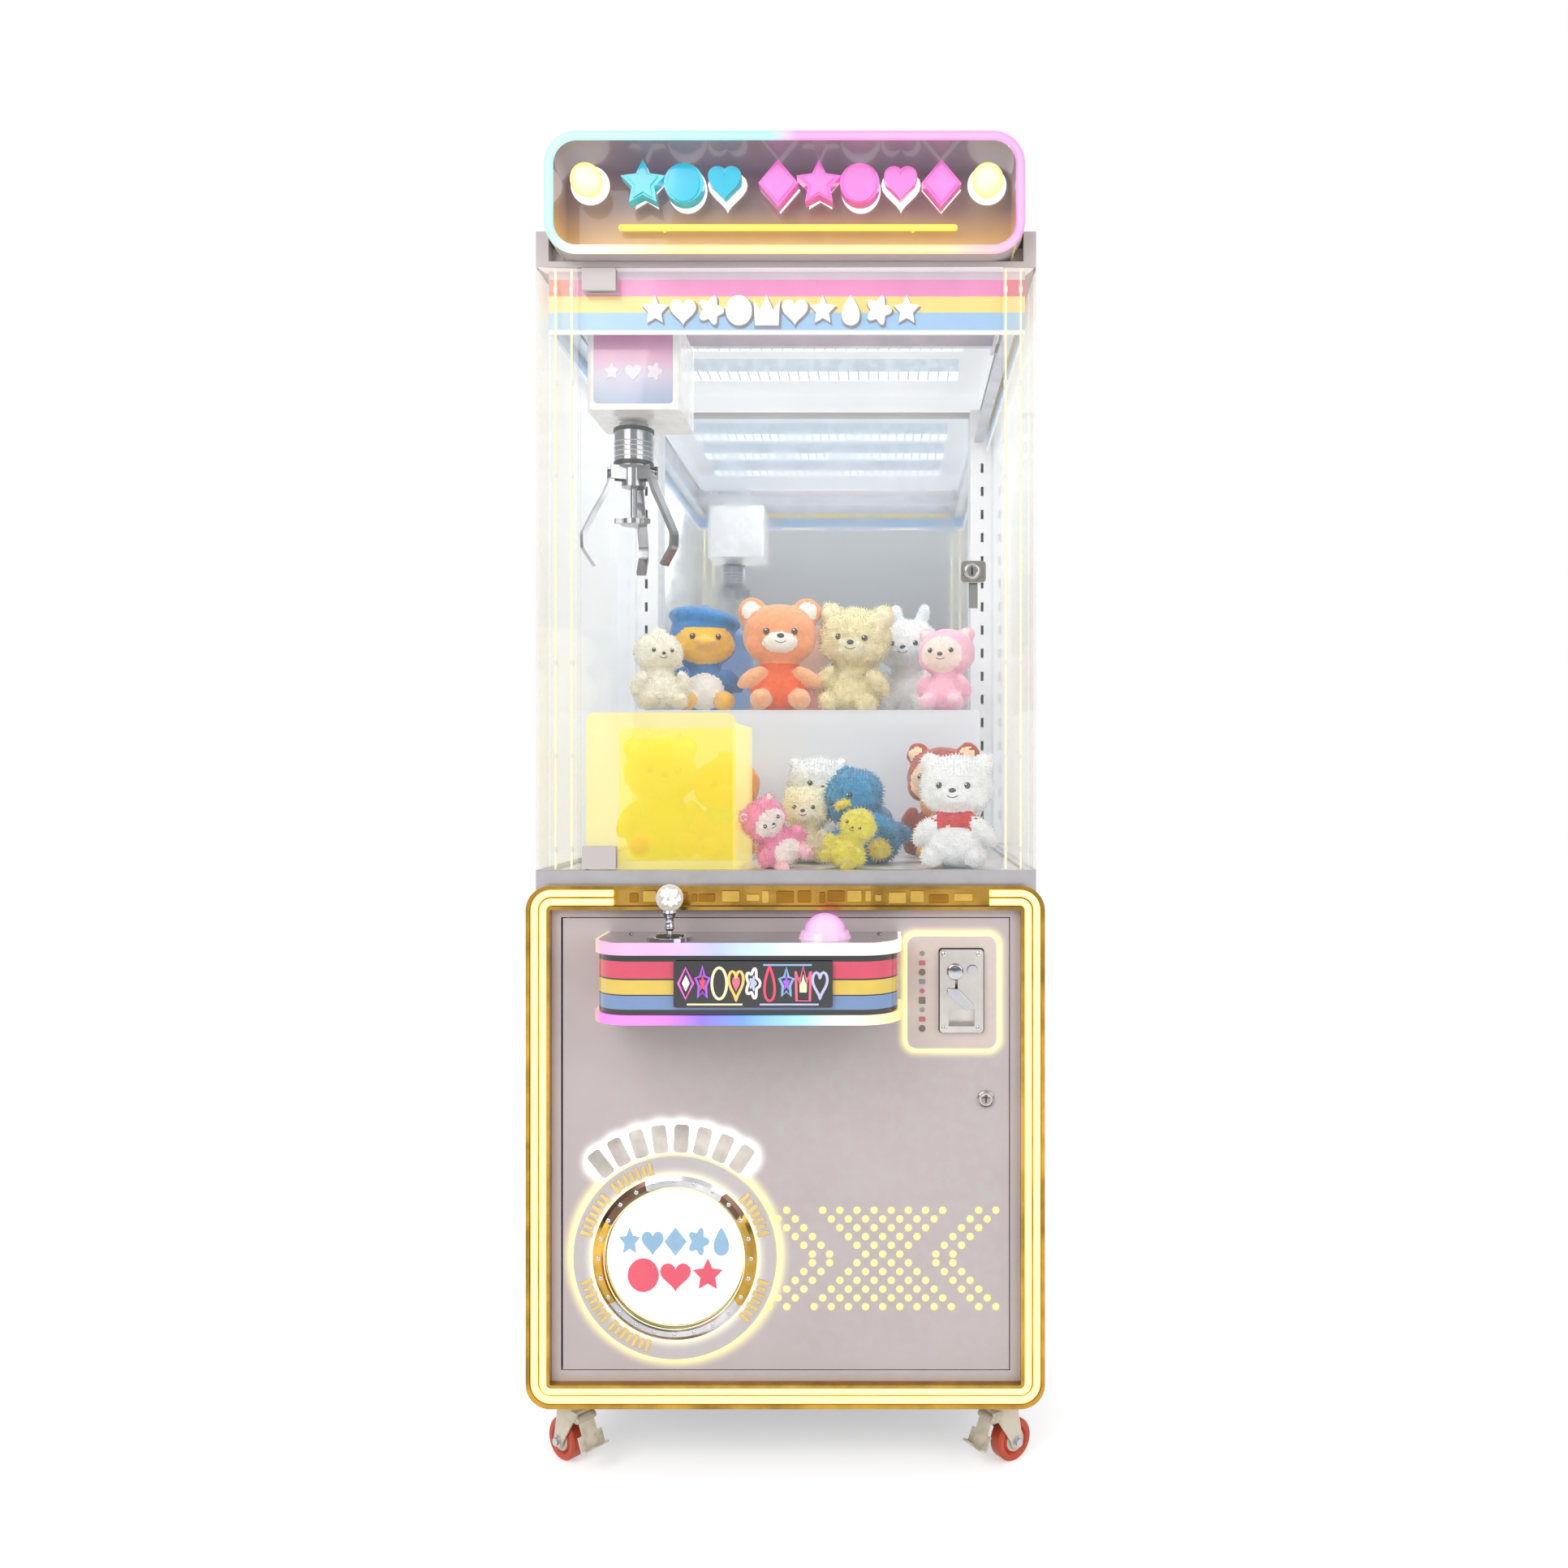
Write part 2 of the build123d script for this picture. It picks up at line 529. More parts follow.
# the same, with x from the guard's right side
DECK_PRIZES = {
    "yellow_pear": (-204.0, 5.0, 66.0, 52.0, 14.0),
    "yellow_duck": (-69.0, 5.0, 66.0, 56.0, 0.0),
    "pink_puff": (59.0, -235.0, 46.0, 34.0, 8.0),
    "lemon_ball": (173.0, -255.0, 38.0, 28.0, 0.0),
    "small_cream": (101.0, -120.0, 46.0, 40.0, 8.0),
    "blue_bird": (211.0, -135.0, 60.0, 48.0, 0.0),
    "white_bear": (353.0, -225.0, 64.0, 56.0, 14.0),
    "orange_cub": (343.0, -85.0, 54.0, 44.0, 10.0),
    "white_seal": (111.0, 35.0, 66.0, 54.0, 10.0),
    "blue_whale": (219.0, 55.0, 34.0, 28.0, 0.0),
    "brown_monkey": (343.0, 55.0, 70.0, 62.0, 18.0),
}
PRIZE_FLAT = 0.25           # share of the body radius cut off under a prize
PRIZE_NECK = 0.35           # share of the head radius sunk into the body
PRIZE_SEAT = 0.3
EAR_PLACE = 0.72            # ear's middle from the head's, as a share of the head radius
# limbs: place right, forward and up from the body's middle, and radius, as shares of the body radius
ARM_SHARES = (0.72, 0.62, 0.15, 0.26)
FOOT_SHARES = (0.5, 0.72, -0.42, 0.33)


# ================================================================ helpers
def block(x0, x1, y0, y1, z0, z1):
    """Box between two corners."""
    return Pos((x0 + x1) / 2, (y0 + y1) / 2, (z0 + z1) / 2) * Box(x1 - x0, y1 - y0, z1 - z0)


def both_sides(shape):
    """A shape and its mirror image across the middle of the machine."""
    return [shape, mirror(shape, about=Plane.YZ)]


def facing_plane(x, y, z):
    """Plane whose outlines face the front, with local Y upwards."""
    return Plane(origin=(x, y, z), x_dir=(1, 0, 0), z_dir=(0, -1, 0))


def front_panel(x0, x1, z0, z1, y0, y1, radius=0.0):
    """Panel facing the front between y0 and y1, with rounded corners."""
    width = x1 - x0
    height = z1 - z0
    outline = RectangleRounded(width, height, radius) if radius else Rectangle(width, height)
    return extrude(facing_plane((x0 + x1) / 2, y1, (z0 + z1) / 2) * outline, amount=y1 - y0)


def flat_panel(x0, x1, y0, y1, z0, z1, radius=0.0):
    """Level panel between z0 and z1, with rounded corners."""
    width = x1 - x0
    depth = y1 - y0
    outline = RectangleRounded(width, depth, radius) if radius else Rectangle(width, depth)
    return extrude(Plane(origin=((x0 + x1) / 2, (y0 + y1) / 2, z0)) * outline, amount=z1 - z0)


def rod_x(x0, x1, y, z, radius):
    """Round bar along X."""
    return Pos((x0 + x1) / 2, y, z) * Rot(0, 90, 0) * Cylinder(radius, x1 - x0)


def rod_y(y0, y1, x, z, radius):
    """Round bar along Y."""
    return Pos(x, (y0 + y1) / 2, z) * Rot(90, 0, 0) * Cylinder(radius, y1 - y0)


def rod_z(z0, z1, x, y, radius):
    """Upright round bar."""
    return Pos(x, y, (z0 + z1) / 2) * Cylinder(radius, z1 - z0)


def group(*shapes):
    """Separate solids that share one node."""
    return Compound([solid for shape in shapes for solid in shape.solids()])


def tube_along(path, radius):
    """Round tube along a path."""
    return sweep((path ^ 0) * Circle(radius), path=path)


# ================================================================ lower cabinet
def base_frame():
    """Welded floor pan with four angle uprights that carry the deck."""
    outer = HALF - SHEET
    y0 = BODY_FACE_Y + SHEET
    pan = block(-outer, outer, y0, INNER_REAR_Y, LOWER_Z0, LOWER_Z0 + PAN_HEIGHT)
    pan -= block(-outer + PAN_SHEET, outer - PAN_SHEET, y0 + PAN_SHEET, INNER_REAR_Y - PAN_SHEET,
                 LOWER_Z0 + PAN_SHEET, LOWER_Z0 + PAN_HEIGHT)
    front = DOOR_BACK_Y + 2 * SIDE_PLAY + DOOR_GAP
    for y_edge, y_sign in ((front, 1), (INNER_REAR_Y, -1)):
        for side in (-1, 1):
            x_edge = side * outer
            x_leg = sorted((x_edge, x_edge - side * UPRIGHT_LEG))
            x_sheet = sorted((x_edge, x_edge - side * UPRIGHT_SHEET))
            y_leg = sorted((y_edge, y_edge + y_sign * UPRIGHT_LEG))
            y_sheet = sorted((y_edge, y_edge + y_sign * UPRIGHT_SHEET))
            pan += block(*x_leg, *y_sheet, LOWER_Z0 + PAN_SHEET, DECK_Z0)
            pan += block(*x_sheet, *y_leg, LOWER_Z0 + PAN_SHEET, DECK_Z0)
    return pan


def cabinet_shell():
    """Side sheets and the door surround, with the pivot brackets and the lock keeper."""
    z0 = LOWER_Z0 + SHELL_INSET
    corner = BEZEL_CORNER - SHELL_INSET
    surround = front_panel(-HALF, HALF, z0, LOWER_Z1, BODY_FACE_Y, BODY_FACE_Y + SHEET)
    surround -= block(DOOR_X0 - DOOR_HINGE_GAP, DOOR_X1 + DOOR_GAP, BODY_FACE_Y, BODY_FACE_Y + SHEET,
                      DOOR_Z0 - DOOR_GAP, DOOR_Z1 + DOOR_GAP)
    for side in (-1, 1):
        clip = Pos(side * (HALF - corner), BODY_FACE_Y, z0 + corner)
        square = block(*sorted((0, side * corner)), 0, SHEET, -corner, 0)
        surround -= clip * (square - rod_y(0, SHEET, 0, 0, corner))
    shell = surround
    for side in (-1, 1):
        shell += block(*sorted((side * HALF, side * (HALF - SHEET))), BODY_FACE_Y + SHEET, INNER_REAR_Y,
                       z0 + corner, LOWER_Z1)
    back_y = BODY_FACE_Y + SHEET
    reach = 2 * DOOR_PIVOT_INSET
    for z_edge in (DOOR_Z0 - DOOR_GAP - DOOR_BRACKET, DOOR_Z1 + DOOR_GAP):
        bracket = block(DOOR_PIVOT_X - reach, DOOR_PIVOT_X + reach, back_y, DOOR_PIVOT_Y + reach,
                        z_edge, z_edge + DOOR_BRACKET)
        bracket -= rod_z(z_edge, z_edge + DOOR_BRACKET, DOOR_PIVOT_X, DOOR_PIVOT_Y, DOOR_PIN_RADIUS + FIT)
        shell += bracket
    shell += block(DOOR_X1 + DOOR_GAP, DOOR_X1 + DOOR_GAP + CAM_WIDTH, back_y, DOOR_BACK_Y - FIT,
                   LOCK_Z - CAM_WIDTH, LOCK_Z + CAM_WIDTH)
    return shell


def louvres():
    """Slots through the rear panel beside the controller."""
    return [block(CONTROLLER_X - LOUVRE_WIDTH / 2, CONTROLLER_X + LOUVRE_WIDTH / 2, INNER_REAR_Y, REAR_Y,
                  LOUVRE_Z + i * LOUVRE_PITCH - LOUVRE_HEIGHT / 2,
                  LOUVRE_Z + i * LOUVRE_PITCH + LOUVRE_HEIGHT / 2)
            for i in range(-LOUVRE_COUNT // 2, LOUVRE_COUNT // 2)]


def rear_panel():
    """Back sheet over the whole height, with louvres and the inlet cut-out."""
    panel = block(-HALF, HALF, INNER_REAR_Y, REAR_Y, LOWER_Z0 + SHELL_INSET, CROWN_Z1)
    panel -= louvres()
    panel -= block(INLET_X - INLET_WIDTH / 2, INLET_X + INLET_WIDTH / 2, INNER_REAR_Y, REAR_Y,
                   INLET_Z - INLET_HEIGHT / 2, INLET_Z + INLET_HEIGHT / 2)
    return panel


def bezel_panel(inset, y0, y1):
    """Rounded panel inside the bezel's outline by an inset."""
    return front_panel(-WIDTH / 2 + inset, WIDTH / 2 - inset, LOWER_Z0 + inset, LOWER_Z1 - inset,
                       y0, y1, max(BEZEL_CORNER - inset, BEZEL_LEAST_CORNER))


def front_bezel():
    """Light bezel: a grooved frame with side lips round the body."""
    back_y = BODY_FACE_Y + BEZEL_WRAP
    ring = bezel_panel(0.0, BEZEL_FACE_Y, back_y) - bezel_panel(BEZEL_BAND, BEZEL_FACE_Y, back_y)
    groove_y = BEZEL_FACE_Y + GROOVE_DEPTH
    groove = bezel_panel(BEZEL_LIP, BEZEL_FACE_Y, groove_y)
    groove -= bezel_panel(BEZEL_BAND - BEZEL_LIP, BEZEL_FACE_Y, groove_y)
    body = block(-HALF, HALF, BODY_FACE_Y, back_y, LOWER_Z0, LOWER_Z1)
    return ring - groove - body


def neon_run(inset):
    """One neon tube round the bezel, open along the top edge."""
    y = BEZEL_FACE_Y + GROOVE_DEPTH - NEON_DIAMETER / 2
    left = -WIDTH / 2 + inset
    bottom = LOWER_Z0 + inset
    top = LOWER_Z1 - inset
    path = FilletPolyline((NEON_TOP_LEFT, y, top), (left, y, top), (left, y, bottom), (-left, y, bottom),
                          (-left, y, top), (NEON_TOP_RIGHT, y, top), radius=BEZEL_CORNER - inset)
    return tube_along(path, NEON_DIAMETER / 2)


def bezel_neon():
    """Two parallel neon tubes in the bezel's groove."""
    offset = (NEON_DIAMETER + NEON_GAP) / 2
    return group(neon_run(BEZEL_BAND / 2 - offset), neon_run(BEZEL_BAND / 2 + offset))


def playfield_deck():
    """Deck board with the opening over the prize chute."""
    deck = block(-HALF + SILL_SIDE, HALF - SILL_SIDE, BODY_FACE_Y + SILL_DEPTH, INNER_REAR_Y - SILL_SIDE,
                 DECK_Z0, DECK_Z1)
    return deck - block(CHUTE_X0, CHUTE_X1, CHUTE_Y0, CHUTE_Y1, DECK_Z0, DECK_Z1)


def window_sill():
    """Sill frame round the deck that carries the glass."""
    sill = block(-HALF, HALF, BODY_FACE_Y, INNER_REAR_Y, LOWER_Z1, WINDOW_Z0)
    sill -= block(-HALF + SILL_SIDE, HALF - SILL_SIDE, BODY_FACE_Y + SILL_DEPTH, INNER_REAR_Y - SILL_SIDE,
                  LOWER_Z1, WINDOW_Z0)
    pin_z = WINDOW_Z0 - GLASS_PIN_LENGTH - PATCH_GAP
    return sill - rod_z(pin_z, WINDOW_Z0, GLASS_PIVOT_X, GLASS_PIVOT_Y, GLASS_PIN_RADIUS + FIT)


def caster_mounts():
    """Four mounting plates: swivel races in front, rigid forks at the rear."""
    plate_z = CASTER_HEIGHT - CASTER_PLATE
    solids = []
    for x in (-CASTER_X, CASTER_X):
        for y, rigid in ((CASTER_FRONT_Y, False), (CASTER_REAR_Y - CASTER_TRAIL, True)):
            plate = block(x - CASTER_PLATE_X / 2, x + CASTER_PLATE_X / 2,
                          y - CASTER_PLATE_Y / 2, y + CASTER_PLATE_Y / 2, plate_z, CASTER_HEIGHT)
            plate += rod_z(plate_z - CASTER_RACE, plate_z, x, y, CASTER_RACE_RADIUS)
            if rigid:
                plate += Pos(x, y, 0) * Rot(0, 0, -90) * fork_solid()
            solids.append(plate)
    return group(*solids)


def fork_solid():
    """Caster fork in its own frame: swivel axis at the origin, wheel behind it along -X."""
    leg_y = WHEEL_WIDTH / 2 + SIDE_PLAY
    crown_z1 = CASTER_HEIGHT - CASTER_PLATE - CASTER_RACE
    half_top = CASTER_LEG_TOP / 2
    fork = block(-half_top, half_top, -leg_y - CASTER_LEG_SHEET, leg_y + CASTER_LEG_SHEET,
                 crown_z1 - CASTER_CROWN, crown_z1)
    leg_plane = Plane(origin=(0, leg_y + CASTER_LEG_SHEET, 0), x_dir=(1, 0, 0), z_dir=(0, -1, 0))
    foot = Pos(-CASTER_TRAIL, WHEEL_RADIUS) * Circle(CASTER_LEG_FOOT)
    web = Polygon((-half_top, crown_z1), (-CASTER_TRAIL - CASTER_LEG_FOOT, WHEEL_RADIUS),
                  (-CASTER_TRAIL + CASTER_LEG_FOOT, WHEEL_RADIUS), (half_top, crown_z1 - PEDAL_PIN * 2),
                  (half_top, crown_z1), align=None)
    leg = extrude(leg_plane * (web + foot), amount=CASTER_LEG_SHEET)
    fork += leg
    fork += mirror(leg, about=Plane.XZ)
    axle_y = leg_y + CASTER_LEG_SHEET + SIDE_PLAY
    fork += rod_y(-axle_y, axle_y, -CASTER_TRAIL, WHEEL_RADIUS, AXLE_RADIUS)
    ear = block(0.0, PEDAL_PIVOT_X, leg_y, leg_y + CASTER_LEG_SHEET,
                PEDAL_PIVOT_Z - 2 * PEDAL_PIN, crown_z1)
    ear += rod_y(leg_y, leg_y + CASTER_LEG_SHEET, PEDAL_PIVOT_X, PEDAL_PIVOT_Z, 2 * PEDAL_PIN)
    fork += ear
    fork += mirror(ear, about=Plane.XZ)
    fork -= rod_y(-axle_y, axle_y, PEDAL_PIVOT_X, PEDAL_PIVOT_Z, PEDAL_PIN + FIT)
    return fork


def wheel_solid():
    """Tyre and hub, with the bore along Y at the origin."""
    half = WHEEL_WIDTH / 2
    profile = Plane.XY * Polygon((AXLE_RADIUS + FIT, -half), (WHEEL_HUB_RADIUS - WHEEL_DISH, -half),
                                 (WHEEL_HUB_RADIUS, -half + WHEEL_DISH),
                                 (WHEEL_HUB_RADIUS + WHEEL_DISH, -half),
                                 (WHEEL_RADIUS - WHEEL_DISH, -half), (WHEEL_RADIUS, -half + WHEEL_DISH),
                                 (WHEEL_RADIUS, half - WHEEL_DISH), (WHEEL_RADIUS - WHEEL_DISH, half),
                                 (WHEEL_HUB_RADIUS + WHEEL_DISH, half), (WHEEL_HUB_RADIUS, half - WHEEL_DISH),
                                 (WHEEL_HUB_RADIUS - WHEEL_DISH, half), (AXLE_RADIUS + FIT, half), align=None)
    return revolve(profile, axis=Axis.Y)


def pedal_solid():
    """Brake pedal in the fork's frame, on the side away from the wheel."""
    half = WHEEL_WIDTH / 2 + SIDE_PLAY - FIT
    pin = rod_y(-half - CASTER_LEG_SHEET, half + CASTER_LEG_SHEET, 0, 0, PEDAL_PIN)
    barrel = rod_y(-half, half, 0, 0, PEDAL_PIN + PEDAL_SHEET)
    plate = block(-PEDAL_SHEET / 2, PEDAL_SHEET / 2, -half, half, -PEDAL_LENGTH / 2, 0)
    plate += block(-PEDAL_SHEET / 2, PEDAL_SHEET / 2, -PEDAL_WIDTH / 2, PEDAL_WIDTH / 2,
                   -PEDAL_LENGTH, -PEDAL_LENGTH / 2)
    toe = block(-PEDAL_SHEET / 2, PEDAL_TOE, -PEDAL_WIDTH / 2, PEDAL_WIDTH / 2,
                -PEDAL_LENGTH, -PEDAL_LENGTH + PEDAL_SHEET)
    tilted = Rot(0, -PEDAL_TILT, 0) * (plate + toe)
    return Pos(PEDAL_PIVOT_X, 0, PEDAL_PIVOT_Z) * (pin + barrel + tilted)


def place_caster(shape, side):
    """Put a caster piece at the front left (-1) or front right (+1)."""
    if side < 0:
        return Pos(-CASTER_X, CASTER_FRONT_Y, 0) * Rot(0, 0, LEFT_SWIVEL) * shape
    return Pos(CASTER_X, CASTER_FRONT_Y, 0) * Rot(0, 0, RIGHT_SWIVEL) * mirror(shape, about=Plane.YZ)


def front_wheel(side):
    """Front wheel on its axle."""
    return place_caster(Pos(-CASTER_TRAIL, 0, WHEEL_RADIUS) * wheel_solid(), side)


def rear_wheels():
    """The two coaxial rear wheels."""
    turned = Rot(0, 0, 90) * wheel_solid()
    return group(*[Pos(x, CASTER_REAR_Y, WHEEL_RADIUS) * turned for x in (-CASTER_X, CASTER_X)])


def electronics():
    """Power supply, controller and the power inlet."""
    floor = LOWER_Z0 + PAN_SHEET
    sx, sy, sz = SUPPLY_SIZE
    supply = block(SUPPLY_X - sx / 2, SUPPLY_X + sx / 2, SUPPLY_Y - sy / 2, SUPPLY_Y + sy / 2,
                   floor, floor + sz)
    cx, cy, cz = CONTROLLER_SIZE
    controller = block(CONTROLLER_X - cx / 2, CONTROLLER_X + cx / 2, INNER_REAR_Y - cy, INNER_REAR_Y,
                       CONTROLLER_Z - cz / 2, CONTROLLER_Z + cz / 2)
    inlet = block(INLET_X - INLET_WIDTH / 2, INLET_X + INLET_WIDTH / 2, REAR_Y - INLET_DEPTH, REAR_Y,
                  INLET_Z - INLET_HEIGHT / 2, INLET_Z + INLET_HEIGHT / 2)
    inlet -= block(INLET_X - INLET_WIDTH / 2 + INLET_WALL, INLET_X + INLET_WIDTH / 2 - INLET_WALL,
                   REAR_Y - INLET_DEPTH / 2, REAR_Y,
                   INLET_Z - INLET_HEIGHT / 2 + INLET_WALL, INLET_Z + INLET_HEIGHT / 2 - INLET_WALL)
    return group(supply, controller, inlet)


# ================================================================ service door
def dot_places():
    """Centres of the perforated dots: an hourglass between two chevrons."""
    places = []
    for row, count in enumerate(DOT_ROW_COUNTS):
        z = DOT_FIRST_Z + row * DOT_PITCH_Z
        for i in range(count):
            places.append((DOT_CENTRE_X + (i - (count - 1) / 2) * DOT_PITCH_X, z))
    middle = (len(DOT_ROW_COUNTS) - 1) / 2
    for row in range(len(DOT_ROW_COUNTS)):
        z = DOT_FIRST_Z + row * DOT_PITCH_Z
        away = abs(row - middle) * DOT_PITCH_X / 2
        for step in (0, 1):
            places.append((CHEVRON_LEFT_X + step * DOT_PITCH_X - away + DOT_PITCH_X, z))
            places.append((CHEVRON_RIGHT_X - step * DOT_PITCH_X + away - DOT_PITCH_X, z))
    return places


def lower_door():
    """Pan-formed service door with its pivot pins, flap lugs and openings."""
    back = DOOR_BACK_Y
    leaf = block(DOOR_X0, DOOR_X1, BODY_FACE_Y, back, DOOR_Z0, DOOR_Z1)
    skin_y = BODY_FACE_Y + SHEET
    leaf -= block(DOOR_X0 + SHEET, DOOR_X1 - SHEET, skin_y, back, DOOR_Z0 + SHEET, DOOR_Z1 - SHEET)
    cuts = [rod_y(BODY_FACE_Y, skin_y, x, z, DOT_RADIUS) for x, z in dot_places()]
    cuts.append(rod_y(BODY_FACE_Y, skin_y, OUTLET_X, OUTLET_Z, OUTLET_RADIUS))
    cuts.append(rod_y(BODY_FACE_Y, skin_y, LOCK_X, LOCK_Z, LOCK_RADIUS - SHEET))
    cuts.append(acceptor_block(BODY_FACE_Y, skin_y, FIT))
    leaf -= cuts
    pin_reach = DOOR_GAP + DOOR_BRACKET
    for z in (DOOR_Z0, DOOR_Z1):
        outward = -1 if z == DOOR_Z0 else 1
        pin_z = sorted((z - outward * SHEET, z + outward * pin_reach))
        leaf += rod_z(*pin_z, DOOR_PIVOT_X, DOOR_PIVOT_Y, DOOR_PIN_RADIUS)
        leaf += block(DOOR_X0 + SHEET, DOOR_PIVOT_X + DOOR_PIN_RADIUS, skin_y,
                      DOOR_PIVOT_Y + DOOR_PIN_RADIUS, *sorted((z - outward * SHEET, z - outward * 3 * SHEET)))
    for side in (-1, 1):
        x = OUTLET_X + side * (FLAP_BARREL_HALF + FIT)
        lug = block(*sorted((x, x + side * FLAP_LUG)), skin_y, FLAP_PIVOT_Y + FLAP_BARREL,
                    FLAP_PIVOT_Z - FLAP_BARREL, FLAP_PIVOT_Z + FLAP_BARREL)
        leaf += lug - rod_x(x - FLAP_LUG, x + FLAP_LUG, FLAP_PIVOT_Y, FLAP_PIVOT_Z, FLAP_PIN + FIT)
    return leaf


def prize_flap():
    """Round flap in the outlet, hung from a barrel behind the door."""
    y0 = BODY_FACE_Y - FLAP_THICKNESS / 2
    flap = rod_y(y0, y0 + FLAP_THICKNESS, OUTLET_X, OUTLET_Z, FLAP_RADIUS)
    half = FLAP_BARREL_HALF - FLAP_LUG / 2
    neck_z = FLAP_PIVOT_Z - OUTLET_RADIUS / 4
    flap += block(OUTLET_X - half, OUTLET_X + half, y0 + FLAP_THICKNESS / 2, FLAP_PIVOT_Y,
                  neck_z, neck_z + FLAP_LUG)
    flap += block(OUTLET_X - half, OUTLET_X + half, FLAP_PIVOT_Y - FLAP_THICKNESS / 2,
                  FLAP_PIVOT_Y + FLAP_THICKNESS / 2, neck_z, FLAP_PIVOT_Z)
    flap += rod_x(OUTLET_X - FLAP_BARREL_HALF, OUTLET_X + FLAP_BARREL_HALF, FLAP_PIVOT_Y, FLAP_PIVOT_Z,
                  FLAP_BARREL - FIT)
    reach = FLAP_BARREL_HALF + FLAP_LUG
    flap += rod_x(OUTLET_X - reach, OUTLET_X + reach, FLAP_PIVOT_Y, FLAP_PIVOT_Z, FLAP_PIN)
    return flap


def prize_ring():
    """Flat lit ring round the outlet's bezel."""
    inner = OUTLET_RADIUS + OUTLET_BEZEL_WIDTH
    y0 = BODY_FACE_Y - OUTLET_RING_PROUD
    ring = rod_y(y0, BODY_FACE_Y, OUTLET_X, OUTLET_Z, inner + OUTLET_RING_WIDTH)
    return ring - rod_y(y0, BODY_FACE_Y, OUTLET_X, OUTLET_Z, inner)


def prize_bezel():
    """Turned bezel round the outlet, bevelled to the opening."""
    outer = OUTLET_RADIUS + OUTLET_BEZEL_WIDTH
    proud = OUTLET_BEZEL_PROUD
    profile = Plane.XY * Polygon((OUTLET_RADIUS, 0), (outer, 0), (outer, -OUTLET_RING_PROUD),
                                 (outer - proud / 2, -proud), (OUTLET_RADIUS + proud / 3, -proud),
                                 (OUTLET_RADIUS, -proud / 2), align=None)
    return Pos(OUTLET_X, BODY_FACE_Y, OUTLET_Z) * revolve(profile, axis=Axis.Y)


def arch_tiles():
    """Standing tiles in an arc above the outlet."""
    ring = OUTLET_RADIUS + OUTLET_BEZEL_WIDTH + OUTLET_RING_WIDTH
    middle = ring + TILE_CLEARANCE + TILE_HEIGHT / 2
    tiles = []
    for i in range(TILE_COUNT):
        angle = TILE_FIRST_ANGLE + i * (TILE_LAST_ANGLE - TILE_FIRST_ANGLE) / (TILE_COUNT - 1)
        z0 = middle - TILE_HEIGHT / 2
        tile = front_panel(-TILE_WIDTH / 2, TILE_WIDTH / 2, z0, z0 + TILE_HEIGHT,
                           BODY_FACE_Y - TILE_PROUD, BODY_FACE_Y, TILE_WIDTH / 4)
        tiles.append(Pos(OUTLET_X, 0, OUTLET_Z) * Rot(0, angle, 0) * tile)
    return group(*tiles)


def door_lock():
    """Lock barrel with its cam, cam down while unlocked."""
    cam_y0 = DOOR_BACK_Y + LOCK_CAM_GAP
    lock = rod_y(BODY_FACE_Y - SHEET, BODY_FACE_Y, LOCK_X, LOCK_Z, LOCK_RADIUS)
    lock += rod_y(BODY_FACE_Y, cam_y0, LOCK_X, LOCK_Z, LOCK_RADIUS - SHEET - FIT)
    lock += block(LOCK_X - CAM_WIDTH / 2, LOCK_X + CAM_WIDTH / 2, cam_y0, cam_y0 + CAM_SHEET,
                  LOCK_Z - CAM_LENGTH, LOCK_Z + CAM_WIDTH / 2)
    key = block(LOCK_X - LOCK_KEY_HALF, LOCK_X + LOCK_KEY_HALF, BODY_FACE_Y - SHEET, BODY_FACE_Y,
                LOCK_Z - LOCK_RADIUS / 3, LOCK_Z + LOCK_RADIUS / 3)
    return lock - key


# ================================================================ coin unit
def acceptor_block(y0, y1, gap):
    """Body of the coin mechanism between two depths, grown by a gap."""
    half_x = ACCEPTOR_WIDTH / 2 - ACCEPTOR_RIM + gap
    half_z = ACCEPTOR_HEIGHT / 2 - ACCEPTOR_RIM + gap
    return block(ACCEPTOR_X - half_x, ACCEPTOR_X + half_x, y0, y1, ACCEPTOR_Z - half_z, ACCEPTOR_Z + half_z)


def coin_plate():
    """Mounting plate on the door, pierced for the mechanism."""
    y0 = BODY_FACE_Y - COIN_PLATE
    plate = front_panel(COIN_X0, COIN_X1, COIN_Z0, COIN_Z1, y0, BODY_FACE_Y, COIN_CORNER)
    return plate - acceptor_block(y0, BODY_FACE_Y, FIT)


def coin_acceptor():
    """Coin mechanism: face plate with slot and return cup, and the body behind it."""
    back = BODY_FACE_Y - COIN_PLATE
    front = back - ACCEPTOR_PROUD
    half_x = ACCEPTOR_WIDTH / 2
    half_z = ACCEPTOR_HEIGHT / 2
    face = front_panel(ACCEPTOR_X - half_x, ACCEPTOR_X + half_x, ACCEPTOR_Z - half_z, ACCEPTOR_Z + half_z,
                       front, back, ACCEPTOR_RIM)
    unit = face + acceptor_block(back, back + ACCEPTOR_DEPTH, 0.0)
    slot = block(ACCEPTOR_X - 2 * ACCEPTOR_RIM, ACCEPTOR_X - 2 * ACCEPTOR_RIM + SLOT_WIDTH, front,
                 front + SLOT_DEPTH, ACCEPTOR_Z - SLOT_HEIGHT / 4, ACCEPTOR_Z + SLOT_HEIGHT * 3 / 4)
    cup = block(ACCEPTOR_X - CUP_WIDTH / 2, ACCEPTOR_X + CUP_WIDTH / 2, front, front + SLOT_DEPTH,
                ACCEPTOR_Z - half_z + 2 * ACCEPTOR_RIM, ACCEPTOR_Z - half_z + 2 * ACCEPTOR_RIM + CUP_HEIGHT)
    bore = rod_y(front, front + REJECT_LENGTH + REJECT_TRAVEL, REJECT_X, REJECT_Z, REJECT_RADIUS + FIT)
    return unit - slot - cup - bore


